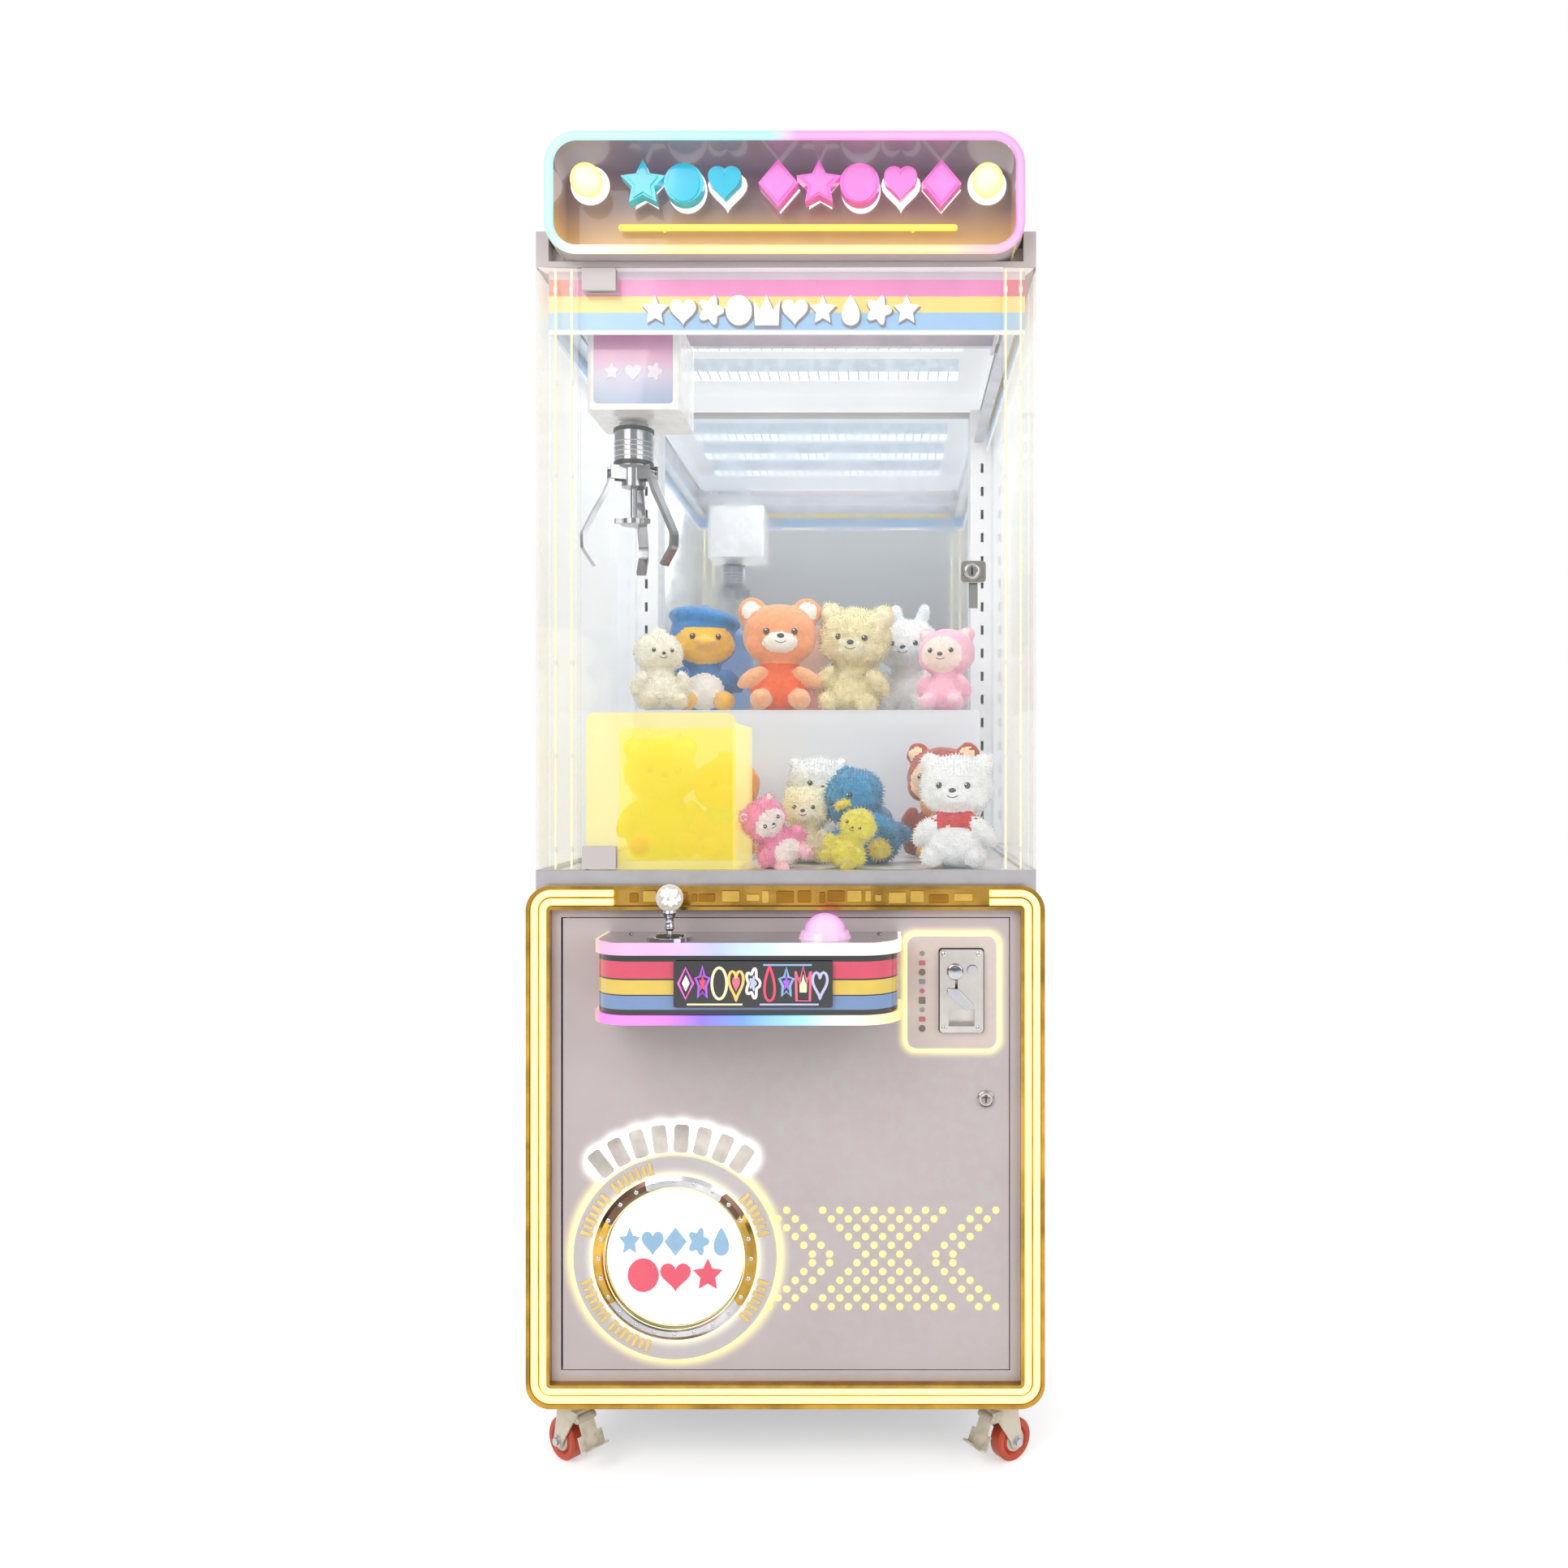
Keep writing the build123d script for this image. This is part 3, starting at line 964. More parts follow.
def coin_reject_button():
    """Push button that returns a stuck coin."""
    y0 = BODY_FACE_Y - COIN_PLATE - ACCEPTOR_PROUD - REJECT_PROUD
    return rod_y(y0, y0 + REJECT_LENGTH, REJECT_X, REJECT_Z, REJECT_RADIUS)


# ================================================================ console
def console_outline(inset, z0, z1, back_gap=0.0):
    """Solid with the console's rounded plan, inset all round except at the door."""
    depth = BODY_FACE_Y - CONSOLE_FACE_Y
    solid = flat_panel(CONSOLE_X0 + inset, CONSOLE_X1 - inset, CONSOLE_FACE_Y + inset,
                       CONSOLE_FACE_Y + 2 * depth - inset, z0, z1, CONSOLE_CORNER - inset)
    return solid - block(CONSOLE_X0, CONSOLE_X1, BODY_FACE_Y - back_gap, CONSOLE_FACE_Y + 2 * depth, z0, z1)


def console_body():
    """Control console shell with lugs for the joystick's gimbal."""
    body = console_outline(RIM_PROUD, CONSOLE_Z0, CONSOLE_Z1)
    body -= console_outline(RIM_PROUD + CONSOLE_WALL, CONSOLE_Z0 + CONSOLE_WALL, CONSOLE_Z1 - CONSOLE_WALL)
    top = CONSOLE_Z1 - CONSOLE_WALL
    hole_radius = STICK_HOLE_RADIUS
    body -= rod_z(top, CONSOLE_Z1, STICK_X, STICK_Y, hole_radius)
    body -= rod_z(top, CONSOLE_Z1, BUTTON_X, BUTTON_Y, BUTTON_RADIUS + FIT)
    for side in (-1, 1):
        x = STICK_X + side * (YOKE_SIZE / 2 + FIT)
        lug = block(*sorted((x, x + side * YOKE_LUG)), STICK_Y - YOKE_WALL, STICK_Y + YOKE_WALL,
                    STICK_PIVOT_Z - YOKE_WALL, top)
        body += lug - rod_x(x - YOKE_LUG, x + YOKE_LUG, STICK_Y, STICK_PIVOT_Z, YOKE_PIN_RADIUS + FIT)
    return body


def console_trim():
    """Light rims round the console, the joystick plate and the button's ring."""
    rims = []
    for z0, z1 in ((CONSOLE_Z0, CONSOLE_Z0 + RIM_BOTTOM_HEIGHT), (CONSOLE_Z1 - RIM_TOP_HEIGHT, CONSOLE_Z1)):
        rims.append(console_outline(0.0, z0, z1) - console_outline(RIM_PROUD, z0, z1))
    plate_z1 = CONSOLE_Z1 + STICK_PLATE_THICKNESS
    plate = rod_z(CONSOLE_Z1, plate_z1, STICK_X, STICK_Y, STICK_PLATE_RADIUS)
    plate -= rod_z(CONSOLE_Z1, plate_z1, STICK_X, STICK_Y, STICK_HOLE_RADIUS)
    ring_z1 = CONSOLE_Z1 + BUTTON_RING_HEIGHT
    ring = Pos(BUTTON_X, BUTTON_Y, (CONSOLE_Z1 + ring_z1) / 2)
    ring *= Cone(BUTTON_RING_RADIUS, BUTTON_RADIUS + 3 * SHEET, BUTTON_RING_HEIGHT)
    ring -= rod_z(CONSOLE_Z1, ring_z1, BUTTON_X, BUTTON_Y, BUTTON_RADIUS + FIT)
    return group(*rims, plate, ring)


def joystick_yoke():
    """Gimbal ring that swings front to back on pins along X."""
    half = YOKE_SIZE / 2
    yoke = Pos(STICK_X, STICK_Y, STICK_PIVOT_Z) * Box(YOKE_SIZE, YOKE_SIZE, YOKE_HEIGHT)
    inner = YOKE_SIZE - 2 * YOKE_WALL
    yoke -= Pos(STICK_X, STICK_Y, STICK_PIVOT_Z) * Box(inner, inner, YOKE_HEIGHT)
    for side in (-1, 1):
        pin = sorted((side * (half - FIT), side * (half + YOKE_LUG)))
        yoke += rod_x(STICK_X + pin[0], STICK_X + pin[1], STICK_Y, STICK_PIVOT_Z, YOKE_PIN_RADIUS)
    return yoke - rod_y(STICK_Y - half, STICK_Y + half, STICK_X, STICK_PIVOT_Z, YOKE_PIN_RADIUS + FIT)


def joystick_lever():
    """Lever with its hub, neck and ball, on pins along Y in the yoke."""
    hub = YOKE_SIZE / 2 - YOKE_WALL - 2 * SIDE_PLAY
    ball_z = CONSOLE_Z1 + STICK_BALL_RISE
    lever = Pos(STICK_X, STICK_Y, STICK_PIVOT_Z) * Sphere(hub)
    lever += rod_y(STICK_Y - YOKE_SIZE / 2, STICK_Y + YOKE_SIZE / 2, STICK_X, STICK_PIVOT_Z, YOKE_PIN_RADIUS)
    lever += rod_z(STICK_PIVOT_Z - STICK_PIVOT_DROP, ball_z, STICK_X, STICK_Y, STICK_SHAFT_RADIUS)
    neck = Cone(STICK_SHAFT_RADIUS + SHEET, STICK_SHAFT_RADIUS + 2 * SHEET, STICK_BALL_RISE / 2)
    lever += Pos(STICK_X, STICK_Y, ball_z - STICK_BALL_RISE / 4 - STICK_BALL_RADIUS / 2) * neck
    return lever + Pos(STICK_X, STICK_Y, ball_z) * Sphere(STICK_BALL_RADIUS)


def push_button():
    """Domed push button with its stem."""
    top = CONSOLE_Z1 + BUTTON_RISE
    dome_height = BUTTON_RISE - BUTTON_RING_HEIGHT - BUTTON_TRAVEL * 2
    radius = (BUTTON_RADIUS ** 2 + dome_height ** 2) / (2 * dome_height)
    bottom = CONSOLE_Z1 - CONSOLE_WALL
    button = Pos(BUTTON_X, BUTTON_Y, top - radius) * Sphere(radius)
    button &= rod_z(bottom, top, BUTTON_X, BUTTON_Y, BUTTON_RADIUS)
    return button + rod_z(bottom - BUTTON_STEM, bottom + BUTTON_TRAVEL, BUTTON_X, BUTTON_Y, BUTTON_RADIUS / 3)


# ================================================================ glass house
def rear_posts():
    """Slotted rear corner posts."""
    post = block(HALF - POST_SIZE, HALF, POST_Y0, INNER_REAR_Y, WINDOW_Z0, WINDOW_Z1)
    post -= block(HALF - POST_SIZE + POST_WALL, HALF - POST_WALL,
                  POST_Y0 + POST_WALL, INNER_REAR_Y - POST_WALL, WINDOW_Z0, WINDOW_Z1)
    x = HALF - POST_SIZE / 2
    count = int((WINDOW_HEIGHT - 2 * POST_SLOT_PITCH) / POST_SLOT_PITCH)
    slots = [block(x - POST_SLOT_WIDTH / 2, x + POST_SLOT_WIDTH / 2, POST_Y0, POST_Y0 + POST_WALL,
                   WINDOW_Z0 + i * POST_SLOT_PITCH, WINDOW_Z0 + i * POST_SLOT_PITCH + POST_SLOT_HEIGHT)
             for i in range(1, count + 1)]
    return group(*both_sides(post - slots))


def corner_covers():
    """Clear angle covers on the two front corners."""
    covers = []
    for side, front in ((-1, COVER_FRONT), (1, COVER_FRONT_RIGHT)):
        edge = side * HALF
        cover = block(*sorted((edge, edge - side * front)), BODY_FACE_Y, BODY_FACE_Y + COVER_SHEET,
                      WINDOW_Z0, WINDOW_Z1)
        cover += block(*sorted((edge, edge - side * COVER_SHEET)), BODY_FACE_Y, BODY_FACE_Y + COVER_SIDE,
                       WINDOW_Z0, WINDOW_Z1)
        covers.append(cover)
    return group(*covers)


def side_windows():
    """Side panes between the corner covers and the rear posts."""
    pane = block(HALF - SIDE_GLASS, HALF, BODY_FACE_Y + COVER_SIDE, POST_Y0, WINDOW_Z0, WINDOW_Z1)
    return group(*both_sides(pane))


def rear_mirror():
    """Mirror panel between the rear posts."""
    half = HALF - POST_SIZE
    return block(-half, half, INNER_REAR_Y - MIRROR_SHEET, INNER_REAR_Y, WINDOW_Z0, WINDOW_Z1)


def front_glass():
    """Frameless front door pane."""
    return block(GLASS_X0, GLASS_X1, GLASS_Y0, GLASS_Y1, GLASS_Z0, GLASS_Z1)


def glass_patches():
    """Clamping patches at the pane's hinge corners, each with its pivot pin."""
    x0 = GLASS_X0 + PATCH_INSET
    patches = []
    for z_edge, outward in ((WINDOW_Z0, -1), (WINDOW_Z1, 1)):
        near = z_edge - outward * PATCH_GAP
        patch = block(x0, x0 + PATCH_WIDTH, GLASS_Y0 - PATCH_SIDE, GLASS_Y1 + PATCH_SIDE,
                      *sorted((near, near - outward * PATCH_HEIGHT)))
        patch -= front_glass()
        patch += rod_z(*sorted((near, z_edge + outward * GLASS_PIN_LENGTH)), GLASS_PIVOT_X, GLASS_PIVOT_Y,
                       GLASS_PIN_RADIUS)
        patches.append(patch)
    return group(*patches)


def glass_lock():
    """Clamp-on glass lock, its cam down while unlocked."""
    cam_y0 = GLASS_Y1 + FIT
    lock = rod_y(GLASS_Y0 - 4 * SHEET, GLASS_Y0, GLASS_LOCK_X, GLASS_LOCK_Z, GLASS_LOCK_RADIUS)
    lock += rod_y(GLASS_Y0 - SHEET, cam_y0, GLASS_LOCK_X, GLASS_LOCK_Z, GLASS_LOCK_RADIUS / 2 - FIT)
    lock += block(GLASS_LOCK_X - CAM_WIDTH / 2, GLASS_LOCK_X + CAM_WIDTH / 2, cam_y0, cam_y0 + CAM_SHEET,
                  GLASS_LOCK_Z - GLASS_CAM_LENGTH, GLASS_LOCK_Z + CAM_WIDTH / 2)
    return lock


def drilled_glass():
    """Front pane with the hole for its lock."""
    return front_glass() - rod_y(GLASS_Y0, GLASS_Y1, GLASS_LOCK_X, GLASS_LOCK_Z, GLASS_LOCK_RADIUS / 2)


def crown():
    """Roof box: notched in front for the marquee and open underneath for the lamps."""
    roof = block(-HALF, HALF, BODY_FACE_Y, INNER_REAR_Y, WINDOW_Z1, CROWN_Z1)
    gap = MARQUEE_NOTCH_GAP
    roof -= block(-MARQUEE_WIDTH / 2 - gap, MARQUEE_WIDTH / 2 + gap, BODY_FACE_Y, MARQUEE_REAR_Y + gap,
                  MARQUEE_Z0 - gap, CROWN_Z1)
    roof -= block(-HALF + CROWN_WALL, HALF - CROWN_WALL,
                  MARQUEE_REAR_Y + CROWN_ROOF, INNER_REAR_Y - CROWN_WALL, WINDOW_Z1, ROOF_Z)
    return roof - rod_z(WINDOW_Z1, WINDOW_Z1 + GLASS_PIN_LENGTH + PATCH_GAP, GLASS_PIVOT_X, GLASS_PIVOT_Y,
                        GLASS_PIN_RADIUS + FIT)


def ceiling_lamps():
    """Ribbed lamp battens under the roof."""
    lamps = []
    count = int(LAMP_LENGTH / LAMP_RIB_PITCH) - 1
    z0 = ROOF_Z - LAMP_HEIGHT
    for at in range(LAMP_COUNT):
        y = MARQUEE_REAR_Y + LAMP_FIRST + at * LAMP_PITCH
        lamp = block(-LAMP_LENGTH / 2, LAMP_LENGTH / 2, y - LAMP_DEPTH / 2, y + LAMP_DEPTH / 2, z0, ROOF_Z)
        grooves = []
        for i in range(count):
            x = -LAMP_LENGTH / 2 + (i + 1) * LAMP_RIB_PITCH
            grooves.append(block(x - LAMP_RIB_DEPTH / 2, x + LAMP_RIB_DEPTH / 2, y - LAMP_DEPTH / 2,
                                 y + LAMP_DEPTH / 2, z0, z0 + LAMP_RIB_DEPTH))
        lamps.append(lamp - grooves)
    return group(*lamps)


def header_band():
    """Striped band inside the glass, round the front and both sides."""
    z0 = WINDOW_Z1 - HEADER_HEIGHT
    outer = block(-HEADER_SIDE_X, HEADER_SIDE_X, HEADER_Y, HEADER_REAR_Y, z0, WINDOW_Z1)
    return outer - block(-HEADER_SIDE_X + HEADER_SHEET, HEADER_SIDE_X - HEADER_SHEET, HEADER_Y + HEADER_SHEET,
                         HEADER_REAR_Y, z0, WINDOW_Z1)


# ================================================================ marquee
def marquee_panel(inset, y0, y1):
    """Rounded panel inside the marquee's outline by an inset."""
    half = MARQUEE_WIDTH / 2 - inset
    return front_panel(-half, half, MARQUEE_Z0 + inset, MARQUEE_Z1 - inset, y0, y1, MARQUEE_CORNER - inset)


def marquee_box():
    """Light box, open to the front."""
    box = marquee_panel(0.0, MARQUEE_BOX_Y, MARQUEE_REAR_Y)
    return box - marquee_panel(MARQUEE_WALL, MARQUEE_BOX_Y, MARQUEE_PANEL_Y)


def marquee_lights():
    """Edge tube, lower tube bar and the two ball lamps."""
    inset = MARQUEE_WALL / 2
    half = MARQUEE_WIDTH / 2 - inset
    outline = facing_plane(0, MARQUEE_BOX_Y, (MARQUEE_Z0 + MARQUEE_Z1) / 2)
    outline *= RectangleRounded(2 * half, MARQUEE_HEIGHT - 2 * inset, MARQUEE_CORNER - inset)
    edge = tube_along(outline.wire(), MARQUEE_TUBE)
    edge -= marquee_panel(0.0, MARQUEE_BOX_Y, MARQUEE_REAR_Y)
    bar_y = MARQUEE_PANEL_Y - SHAPE_STANDOFF
    bar_z = MARQUEE_Z0 + BAR_RISE
    bar = rod_x(-BAR_HALF_LENGTH, BAR_HALF_LENGTH, bar_y, bar_z, BAR_RADIUS)
    bulbs = []
    for side in (-1, 1):
        x = side * BAR_HALF_LENGTH
        bar += Pos(x, bar_y, bar_z) * Sphere(BAR_RADIUS)
        bar += rod_y(bar_y, MARQUEE_PANEL_Y, x - side * BAR_STAY_INSET, bar_z, BAR_STAY_RADIUS)
        bulb_z = MARQUEE_Z0 + BULB_RISE
        ball_y = MARQUEE_PANEL_Y - SHAPE_STANDOFF - BULB_RADIUS
        bulb = Pos(side * BULB_X, ball_y, bulb_z) * Sphere(BULB_RADIUS)
        bulbs.append(bulb + rod_y(ball_y, MARQUEE_PANEL_Y, side * BULB_X, bulb_z, BULB_BASE_RADIUS))
    return group(edge, bar, *bulbs)


def star_outline(size):
    """Five-pointed star."""
    points = []
    for i in range(10):
        radius = size / 2 * (1.0 if i % 2 == 0 else STAR_DEPTH)
        points.append((-radius * sin(radians(36 * i)), radius * cos(radians(36 * i))))
    return Polygon(*points, align=None)


def heart_outline(size):
    """Heart made of a square on its corner and two discs."""
    side = size / (1 + sqrt(2) / 2) / sqrt(2)
    square = Rot(0, 0, 45) * Rectangle(side, side)
    lobe = side / 2
    shift = lobe * cos(radians(45))
    return square + Pos(-shift, shift) * Circle(lobe) + Pos(shift, shift) * Circle(lobe)


def sign_shape(kind, x):
    """One raised shape of the sign, on its stand-off."""
    outlines = {"star": star_outline(SHAPE_HEIGHT),
                "heart": heart_outline(SHAPE_HEIGHT),
                "disc": Circle(SHAPE_SIZE / 2),
                "diamond": Polygon((0, -SHAPE_HEIGHT / 2), (SHAPE_SIZE / 2, 0), (0, SHAPE_HEIGHT / 2),
                                   (-SHAPE_SIZE / 2, 0), align=None)}
    z = MARQUEE_Z0 + SHAPE_RISE
    back = MARQUEE_PANEL_Y - SHAPE_STANDOFF
    shape = extrude(facing_plane(x, back, z) * outlines[kind], amount=SHAPE_THICKNESS)
    return shape + rod_y(back, MARQUEE_PANEL_Y, x, z, MARQUEE_TUBE)


def marquee_shapes():
    """Raised shapes of the sign, in two groups."""
    rows = ((SHAPE_LEFT_FIRST_X, SHAPE_LEFT_KINDS), (SHAPE_RIGHT_FIRST_X, SHAPE_RIGHT_KINDS))
    return group(*[sign_shape(kind, first + i * SHAPE_PITCH) for first, kinds in rows
                   for i, kind in enumerate(kinds)])


# ================================================================ chute, guard and shelf
def chute_guard():
    """Yellow guard: front wall, right wall and back wall, open towards the left window."""
    z1 = DECK_Z1 + GUARD_HEIGHT
    front = front_panel(GUARD_X0, GUARD_X1, DECK_Z1 - GUARD_CORNER, z1,
                        GUARD_Y0, GUARD_Y0 + GUARD_WALL, GUARD_CORNER)
    front -= block(GUARD_X0, GUARD_X1, GUARD_Y0, GUARD_Y1, DECK_Z1 - GUARD_CORNER, DECK_Z1)
    right = block(GUARD_X1 - GUARD_WALL, GUARD_X1, GUARD_Y0, GUARD_Y1, DECK_Z1, z1 - GUARD_CORNER)
    back = block(GUARD_X0, GUARD_X1, GUARD_Y1 - GUARD_WALL, GUARD_Y1, DECK_Z1, z1 - GUARD_CORNER)
    return front + right + back


def prize_chute():
    """Sheet duct from the deck to the outlet, with a sloping floor."""
    sheet = CHUTE_SHEET
    foot = CHUTE_FLOOR_FRONT - sheet
    chute = block(CHUTE_X0 - sheet, CHUTE_X1 + sheet, CHUTE_Y0 - sheet, CHUTE_Y1 + sheet,
                  CHUTE_BIN_TOP - sheet, DECK_Z0)
    chute += block(CHUTE_X0 - sheet, CHUTE_BIN_X1 + sheet, CHUTE_Y0 - sheet, CHUTE_Y1 + sheet,
                   foot, CHUTE_BIN_TOP)
    side_plane = Plane(origin=(CHUTE_X0, 0, 0), x_dir=(0, 1, 0), z_dir=(1, 0, 0))
    room = Polygon((CHUTE_Y0 - sheet, CHUTE_FLOOR_FRONT), (CHUTE_Y1, CHUTE_FLOOR_REAR),
                   (CHUTE_Y1, CHUTE_BIN_TOP - sheet), (CHUTE_Y0 - sheet, CHUTE_BIN_TOP - sheet), align=None)
    chute -= extrude(side_plane * room, amount=CHUTE_BIN_X1 - CHUTE_X0)
    chute -= block(CHUTE_X0, CHUTE_X1, CHUTE_Y0, CHUTE_Y1, CHUTE_FLOOR_REAR, DECK_Z0)
    under = Polygon((CHUTE_Y0, foot), (CHUTE_Y1 + sheet, foot), (CHUTE_Y1 + sheet, CHUTE_FLOOR_REAR - sheet),
                    align=None)
    wide_plane = Plane(origin=(CHUTE_X0 - sheet, 0, 0), x_dir=(0, 1, 0), z_dir=(1, 0, 0))
    return chute - extrude(wide_plane * under, amount=CHUTE_BIN_X1 - CHUTE_X0 + 2 * sheet)


def prize_shelf():
    """Clear display podium along the mirror."""
    rear = INNER_REAR_Y - SILL_SIDE
    podium = block(-SHELF_HALF, SHELF_HALF, SHELF_Y0, rear, DECK_Z1, SHELF_Z)
    return podium - block(-SHELF_HALF + SHELF_SHEET, SHELF_HALF - SHELF_SHEET, SHELF_Y0 + SHELF_SHEET, rear,
                          DECK_Z1, SHELF_Z - SHELF_SHEET)


def prize(floor_z, x, y, body, head, ear):
    """Soft prize: round body cut flat underneath, round head, two ears, arms and feet."""
    body_z = floor_z + PRIZE_SEAT + body * (1 - PRIZE_FLAT)
    head_z = body_z + body + head * (1 - PRIZE_NECK) - body * PRIZE_FLAT
    toy = Pos(x, y, body_z) * Sphere(body)
    toy -= block(x - body, x + body, y - body, y + body, body_z - body, floor_z + PRIZE_SEAT)
    toy += Pos(x, y, head_z) * Sphere(head)
    if ear > 0:
        for side in (-1, 1):
            toy += Pos(x + side * head * EAR_PLACE, y, head_z + head * EAR_PLACE) * Sphere(ear)
    for right, forward, up, radius in (ARM_SHARES, FOOT_SHARES):
        for side in (-1, 1):
            place = Pos(x + side * right * body, y - forward * body, body_z + up * body)
            toy += place * Sphere(radius * body)
    return toy


def prizes_on(table, floor_z, origin_x, share):
    """All prizes of one table standing on one floor, laid out from an origin and scaled by a share."""
    return group(*[prize(floor_z, origin_x + x * share, y, body * share, head * share, ear * share)
                   for x, y, body, head, ear in table.values()])


# ================================================================ gantry
def gantry_rails():
    """Two angle rails hung under the crown's side walls."""
    web = block(RAIL_OUTER - RAIL_SHEET, RAIL_OUTER, RAIL_Y0, RAIL_Y1, RAIL_Z0, WINDOW_Z1)
    flange = block(RAIL_OUTER - RAIL_FLANGE, RAIL_OUTER, RAIL_Y0, RAIL_Y1, RAIL_Z0, RAIL_TOP_Z)
    return group(*both_sides(web + flange))


def gantry_bridge():
    """Bridge: two beams between end plates, with glides on the rails."""
    beam_x = BRIDGE_HALF_SPAN - BRIDGE_END_SHEET
    end_z1 = BEAM_Z0 + BRIDGE_END_HEIGHT
    bridge = block(beam_x, BRIDGE_HALF_SPAN, CLAW_Y - BRIDGE_END_HALF, CLAW_Y + BRIDGE_END_HALF,
                   BEAM_Z0, end_z1)
    axle_y = CLAW_Y - BRIDGE_AXLE_OFFSET
    glide_y = CLAW_Y + BRIDGE_AXLE_OFFSET
    wheel_x0 = RAIL_OUTER - RAIL_SHEET - SIDE_PLAY - BRIDGE_WHEEL_WIDTH
    bridge += block(BRIDGE_HALF_SPAN, wheel_x0 + BRIDGE_WHEEL_WIDTH, glide_y - BRIDGE_WHEEL_RADIUS / 2,
                    glide_y + BRIDGE_WHEEL_RADIUS / 2, RAIL_TOP_Z + FIT, AXLE_Z + BRIDGE_AXLE_RADIUS)
    bridge -= rod_x(beam_x, BRIDGE_HALF_SPAN, axle_y, AXLE_Z, BRIDGE_AXLE_RADIUS + FIT)
    bridge += mirror(bridge, about=Plane.YZ)
    for side in (-1, 1):
        inner_y = CLAW_Y + side * BRIDGE_BEAM_INNER
        y = sorted((inner_y, inner_y + side * BRIDGE_BEAM_WIDTH))
        bridge += block(-beam_x, beam_x, *y, BEAM_Z0, BEAM_Z1)
    return bridge


def bridge_axle():
    """Drive shaft across the bridge with its two rail wheels."""
    y = CLAW_Y - BRIDGE_AXLE_OFFSET
    wheel_x1 = RAIL_OUTER - RAIL_SHEET - SIDE_PLAY
    axle = rod_x(-wheel_x1, wheel_x1, y, AXLE_Z, BRIDGE_AXLE_RADIUS)
    for side in (-1, 1):
        x = sorted((side * wheel_x1, side * (wheel_x1 - BRIDGE_WHEEL_WIDTH)))
        axle += rod_x(*x, y, AXLE_Z, BRIDGE_WHEEL_RADIUS)
    return axle


def trolley():
    """Trolley chassis between the beams, with drum brackets and the hoist motor."""
    bottom = COVER_BOX_Z1
    top = TROLLEY_TOP_Z
    tx = TROLLEY_HALF_X
    ty = TROLLEY_HALF_Y
    sheet = TROLLEY_SHEET
    chassis = block(-tx, tx, -ty, ty, bottom, top)
    chassis -= block(-tx + sheet, tx - sheet, -ty + sheet, ty - sheet, bottom, top)
    shoe_y = BRIDGE_BEAM_INNER + BRIDGE_BEAM_WIDTH
    chassis += block(-tx, tx, -shoe_y, shoe_y, top, top + TROLLEY_TOP_SHEET)
    for sx in (-1, 1):
        for sy in (-1, 1):
            x = sorted((sx * tx, sx * (tx - TROLLEY_SHOE_LENGTH)))
            y = sorted((sy * BRIDGE_BEAM_INNER, sy * shoe_y))
            chassis += block(*x, *y, top - TROLLEY_SHOE, top)
    drum_x = DRUM_X - CLAW_X
    for side in (-1, 1):
        y = sorted((side * DRUM_BRACKET_Y, side * (DRUM_BRACKET_Y + sheet)))
        bracket = block(drum_x - DRUM_BRACKET_WIDTH / 2, drum_x + DRUM_BRACKET_WIDTH / 2, *y,
                        DRUM_Z - DRUM_BRACKET_WIDTH / 2, top)
        bracket -= rod_y(*y, drum_x, DRUM_Z, DRUM_SHAFT + FIT)
        chassis += bracket
    motor_y = DRUM_BRACKET_Y + sheet
    motor = rod_y(motor_y, motor_y + MOTOR_LENGTH, drum_x, DRUM_Z, MOTOR_RADIUS)
    motor -= rod_y(motor_y, motor_y + 2 * DRUM_SHAFT, drum_x, DRUM_Z, DRUM_SHAFT + FIT)
    return Pos(CLAW_X, CLAW_Y, 0) * group(chassis, motor)


def trolley_cover():
    """Square crane cover under the trolley."""
    half = COVER_BOX / 2
    wall = COVER_BOX_WALL
    x0 = COVER_BOX_OFFSET - half
    x1 = COVER_BOX_OFFSET + half
    box = flat_panel(x0, x1, -half, half, COVER_BOX_Z0, COVER_BOX_Z1, COVER_BOX_CORNER)
    box -= flat_panel(x0 + wall, x1 - wall, -half + wall, half - wall,
                      COVER_BOX_Z0 + wall, COVER_BOX_Z1 - wall, COVER_BOX_CORNER - wall)
    opening_x = TROLLEY_HALF_X - TROLLEY_SHEET
    opening_y = TROLLEY_HALF_Y - TROLLEY_SHEET
    box -= block(-opening_x, opening_x, -opening_y, opening_y, COVER_BOX_Z1 - wall, COVER_BOX_Z1)
    box -= rod_z(COVER_BOX_Z0, COVER_BOX_Z0 + wall, 0, 0, CORD_HOLE_RADIUS)
    return Pos(CLAW_X, CLAW_Y, 0) * box


def hoist_drum():
    """Winding drum on its shaft."""
    drum = rod_y(CLAW_Y - DRUM_HALF, CLAW_Y + DRUM_HALF, DRUM_X, DRUM_Z, DRUM_RADIUS)
    for side in (-1, 1):
        y = sorted((CLAW_Y + side * DRUM_HALF, CLAW_Y + side * (DRUM_HALF - DRUM_FLANGE_SHEET)))
        drum += rod_y(*y, DRUM_X, DRUM_Z, DRUM_FLANGE)
    shaft_y0 = CLAW_Y - DRUM_BRACKET_Y - TROLLEY_SHEET
    shaft_y1 = CLAW_Y + DRUM_BRACKET_Y + TROLLEY_SHEET + DRUM_SHAFT
    return drum + rod_y(shaft_y0, shaft_y1, DRUM_X, DRUM_Z, DRUM_SHAFT)


def hoist_cord():
    """Cord from the drum down to the claw's collar."""
    return rod_z(COLLAR_Z1, DRUM_Z, CLAW_X, CLAW_Y, CORD_RADIUS)


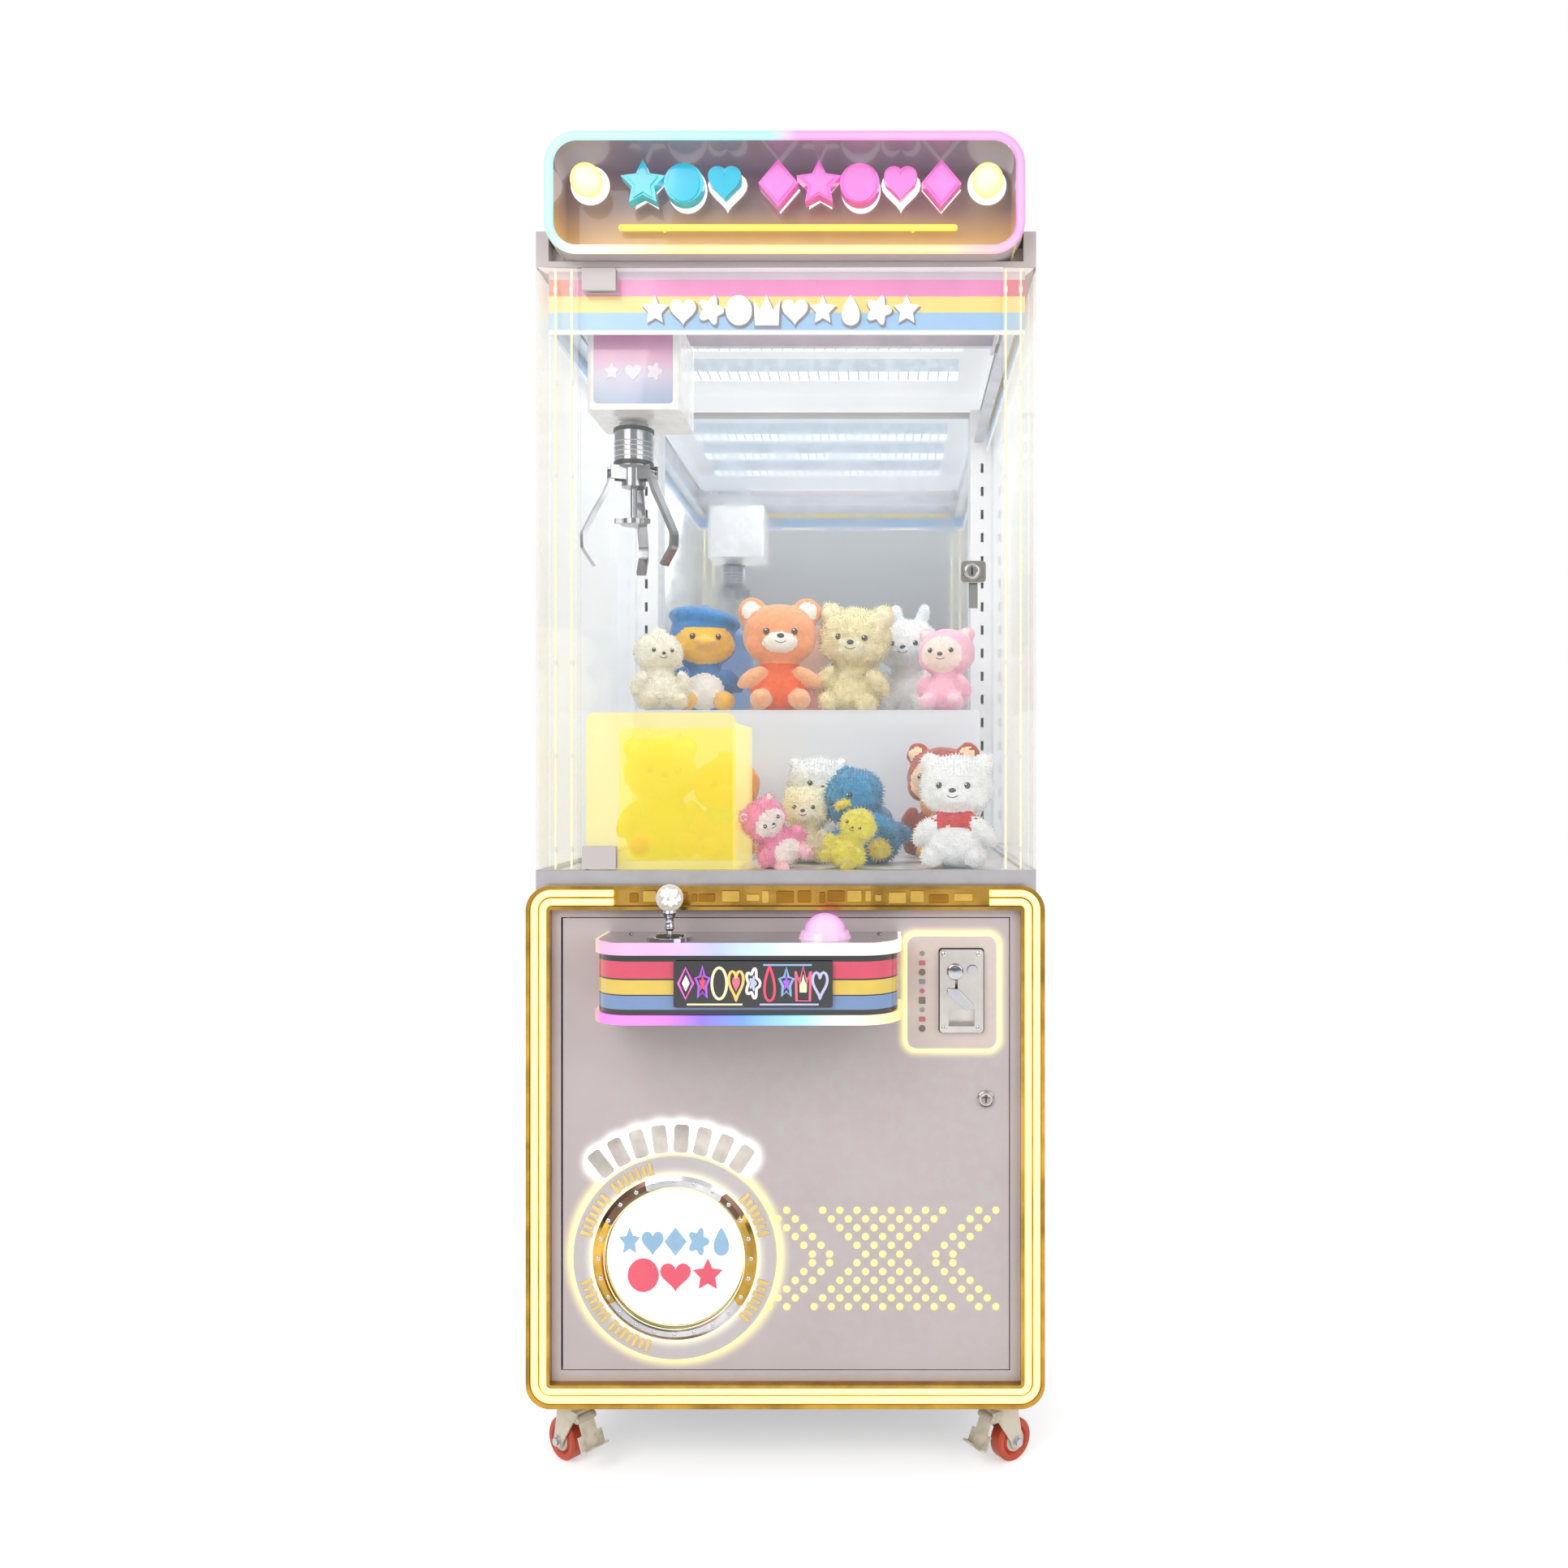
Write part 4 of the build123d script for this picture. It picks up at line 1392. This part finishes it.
# ================================================================ claw
def arm_frame(index):
    """Location of one arm's pivot, with local X pointing outwards."""
    angle = ARM_FIRST_ANGLE + index * 360 / ARM_COUNT
    return Pos(CLAW_X, CLAW_Y, ARM_PIVOT_Z) * Rot(0, 0, angle) * Pos(ARM_PIVOT_RADIUS, 0, 0)


def claw_body():
    """Coil housing with its collar, neck and the arms' pivot lugs."""
    body = rod_z(COIL_Z0, COIL_Z1, CLAW_X, CLAW_Y, COIL_RADIUS)
    body += rod_z(COIL_Z1, COLLAR_Z1, CLAW_X, CLAW_Y, COLLAR_RADIUS)
    body += rod_z(COIL_Z0 - NECK_HEIGHT, COIL_Z0, CLAW_X, CLAW_Y, NECK_RADIUS)
    lug_y = ARM_WIDTH / 2 + FIT
    for i in range(ARM_COUNT):
        lugs = []
        for side in (-1, 1):
            y = sorted((side * lug_y, side * (lug_y + LUG_SHEET)))
            lugs.append(block(NECK_RADIUS / 2 - ARM_PIVOT_RADIUS, LUG_REACH, *y,
                              -ARM_PIVOT_DROP, ARM_PIVOT_DROP))
        lugs.append(rod_y(-lug_y - LUG_SHEET, lug_y + LUG_SHEET, 0, 0, ARM_PIN))
        for lug in lugs:
            body += arm_frame(i) * lug
    bore_top = SPIDER_Z0 + PLUNGER_LENGTH + PLUNGER_TRAVEL + CLAW_GAP
    return body - rod_z(COIL_Z0 - NECK_HEIGHT, bore_top, CLAW_X, CLAW_Y, PLUNGER_RADIUS + FIT)


def claw_plunger():
    """Plunger rod with the spider that works the arms."""
    plunger = rod_z(SPIDER_Z0, SPIDER_Z0 + PLUNGER_LENGTH, CLAW_X, CLAW_Y, PLUNGER_RADIUS)
    plunger += rod_z(SPIDER_Z0, SPIDER_Z0 + SPIDER_HEIGHT, CLAW_X, CLAW_Y, SPIDER_RADIUS)
    for i in range(ARM_COUNT):
        angle = ARM_FIRST_ANGLE + i * 360 / ARM_COUNT
        lug = block(SPIDER_RADIUS / 2, SPIDER_RADIUS + SPIDER_LUG,
                    -SPIDER_LUG_WIDTH / 2, SPIDER_LUG_WIDTH / 2, SPIDER_Z0, SPIDER_Z0 + SPIDER_HEIGHT)
        plunger += Pos(CLAW_X, CLAW_Y, 0) * Rot(0, 0, angle) * lug
    return plunger


def claw_arm(index):
    """Bent claw arm with its knuckle."""
    points = [(x, 0, z) for x, z in ARM_POINTS]
    path = FilletPolyline(*points, radius=ARM_BEND)
    run_x = ARM_POINTS[1][0] - ARM_POINTS[0][0]
    run_z = ARM_POINTS[1][1] - ARM_POINTS[0][1]
    start = Plane(origin=(0, 0, 0), x_dir=(0, 1, 0), z_dir=(run_x, 0, run_z))
    arm = sweep(start * Rectangle(ARM_WIDTH, ARM_THICKNESS), path=path)
    arm += rod_y(-ARM_WIDTH / 2, ARM_WIDTH / 2, 0, 0, ARM_KNUCKLE)
    arm -= rod_y(-ARM_WIDTH / 2, ARM_WIDTH / 2, 0, 0, ARM_PIN + FIT)
    return arm_frame(index) * arm


# ================================================================ assembly
def build_nodes():
    """Every node by name."""
    nodes = {
        "base_frame": base_frame(),
        "cabinet_shell": cabinet_shell(),
        "rear_panel": rear_panel(),
        "front_bezel": front_bezel(),
        "bezel_neon": bezel_neon(),
        "playfield_deck": playfield_deck(),
        "window_sill": window_sill(),
        "rear_posts": rear_posts(),
        "corner_covers": corner_covers(),
        "side_windows": side_windows(),
        "rear_mirror": rear_mirror(),
        "crown": crown(),
        "ceiling_lamps": ceiling_lamps(),
        "header_band": header_band(),
        "marquee_box": marquee_box(),
        "marquee_lights": marquee_lights(),
        "marquee_shapes": marquee_shapes(),
        "gantry_rails": gantry_rails(),
        "chute_guard": chute_guard(),
        "prize_chute": prize_chute(),
        "prize_shelf": prize_shelf(),
        "electronics": electronics(),
        "caster_mounts": caster_mounts(),
        "shelf_prizes": prizes_on(SHELF_PRIZES, SHELF_Z, 0.0, BODY_WIDTH / SHELF_FIELD),
        "deck_prizes": prizes_on(DECK_PRIZES, DECK_Z1, GUARD_X1, (HALF - GUARD_X1) / DECK_FIELD),
        "lower_door": lower_door(),
        "console_body": console_body(),
        "console_trim": console_trim(),
        "coin_plate": coin_plate(),
        "coin_acceptor": coin_acceptor(),
        "prize_ring": prize_ring(),
        "prize_bezel": prize_bezel(),
        "arch_tiles": arch_tiles(),
        "prize_flap": prize_flap(),
        "joystick_yoke": joystick_yoke(),
        "joystick_lever": joystick_lever(),
        "push_button": push_button(),
        "coin_reject_button": coin_reject_button(),
        "door_lock": door_lock(),
        "front_glass": drilled_glass(),
        "glass_patches": glass_patches(),
        "glass_lock": glass_lock(),
        "gantry_bridge": gantry_bridge(),
        "bridge_axle": bridge_axle(),
        "trolley": trolley(),
        "trolley_cover": trolley_cover(),
        "hoist_drum": hoist_drum(),
        "hoist_cord": hoist_cord(),
        "claw_body": claw_body(),
        "claw_plunger": claw_plunger(),
        "rear_wheels": rear_wheels(),
    }
    for i in range(ARM_COUNT):
        nodes[f"claw_arm_{i + 1}"] = claw_arm(i)
    for side, word in ((-1, "left"), (1, "right")):
        nodes[f"caster_fork_{word}"] = place_caster(fork_solid(), side)
        nodes[f"front_wheel_{word}"] = front_wheel(side)
        nodes[f"brake_pedal_{word}"] = place_caster(pedal_solid(), side)
    return nodes


os.makedirs("parts", exist_ok=True)
for name, shape in build_nodes().items():
    export_step(shape, f"parts/{name}.step")
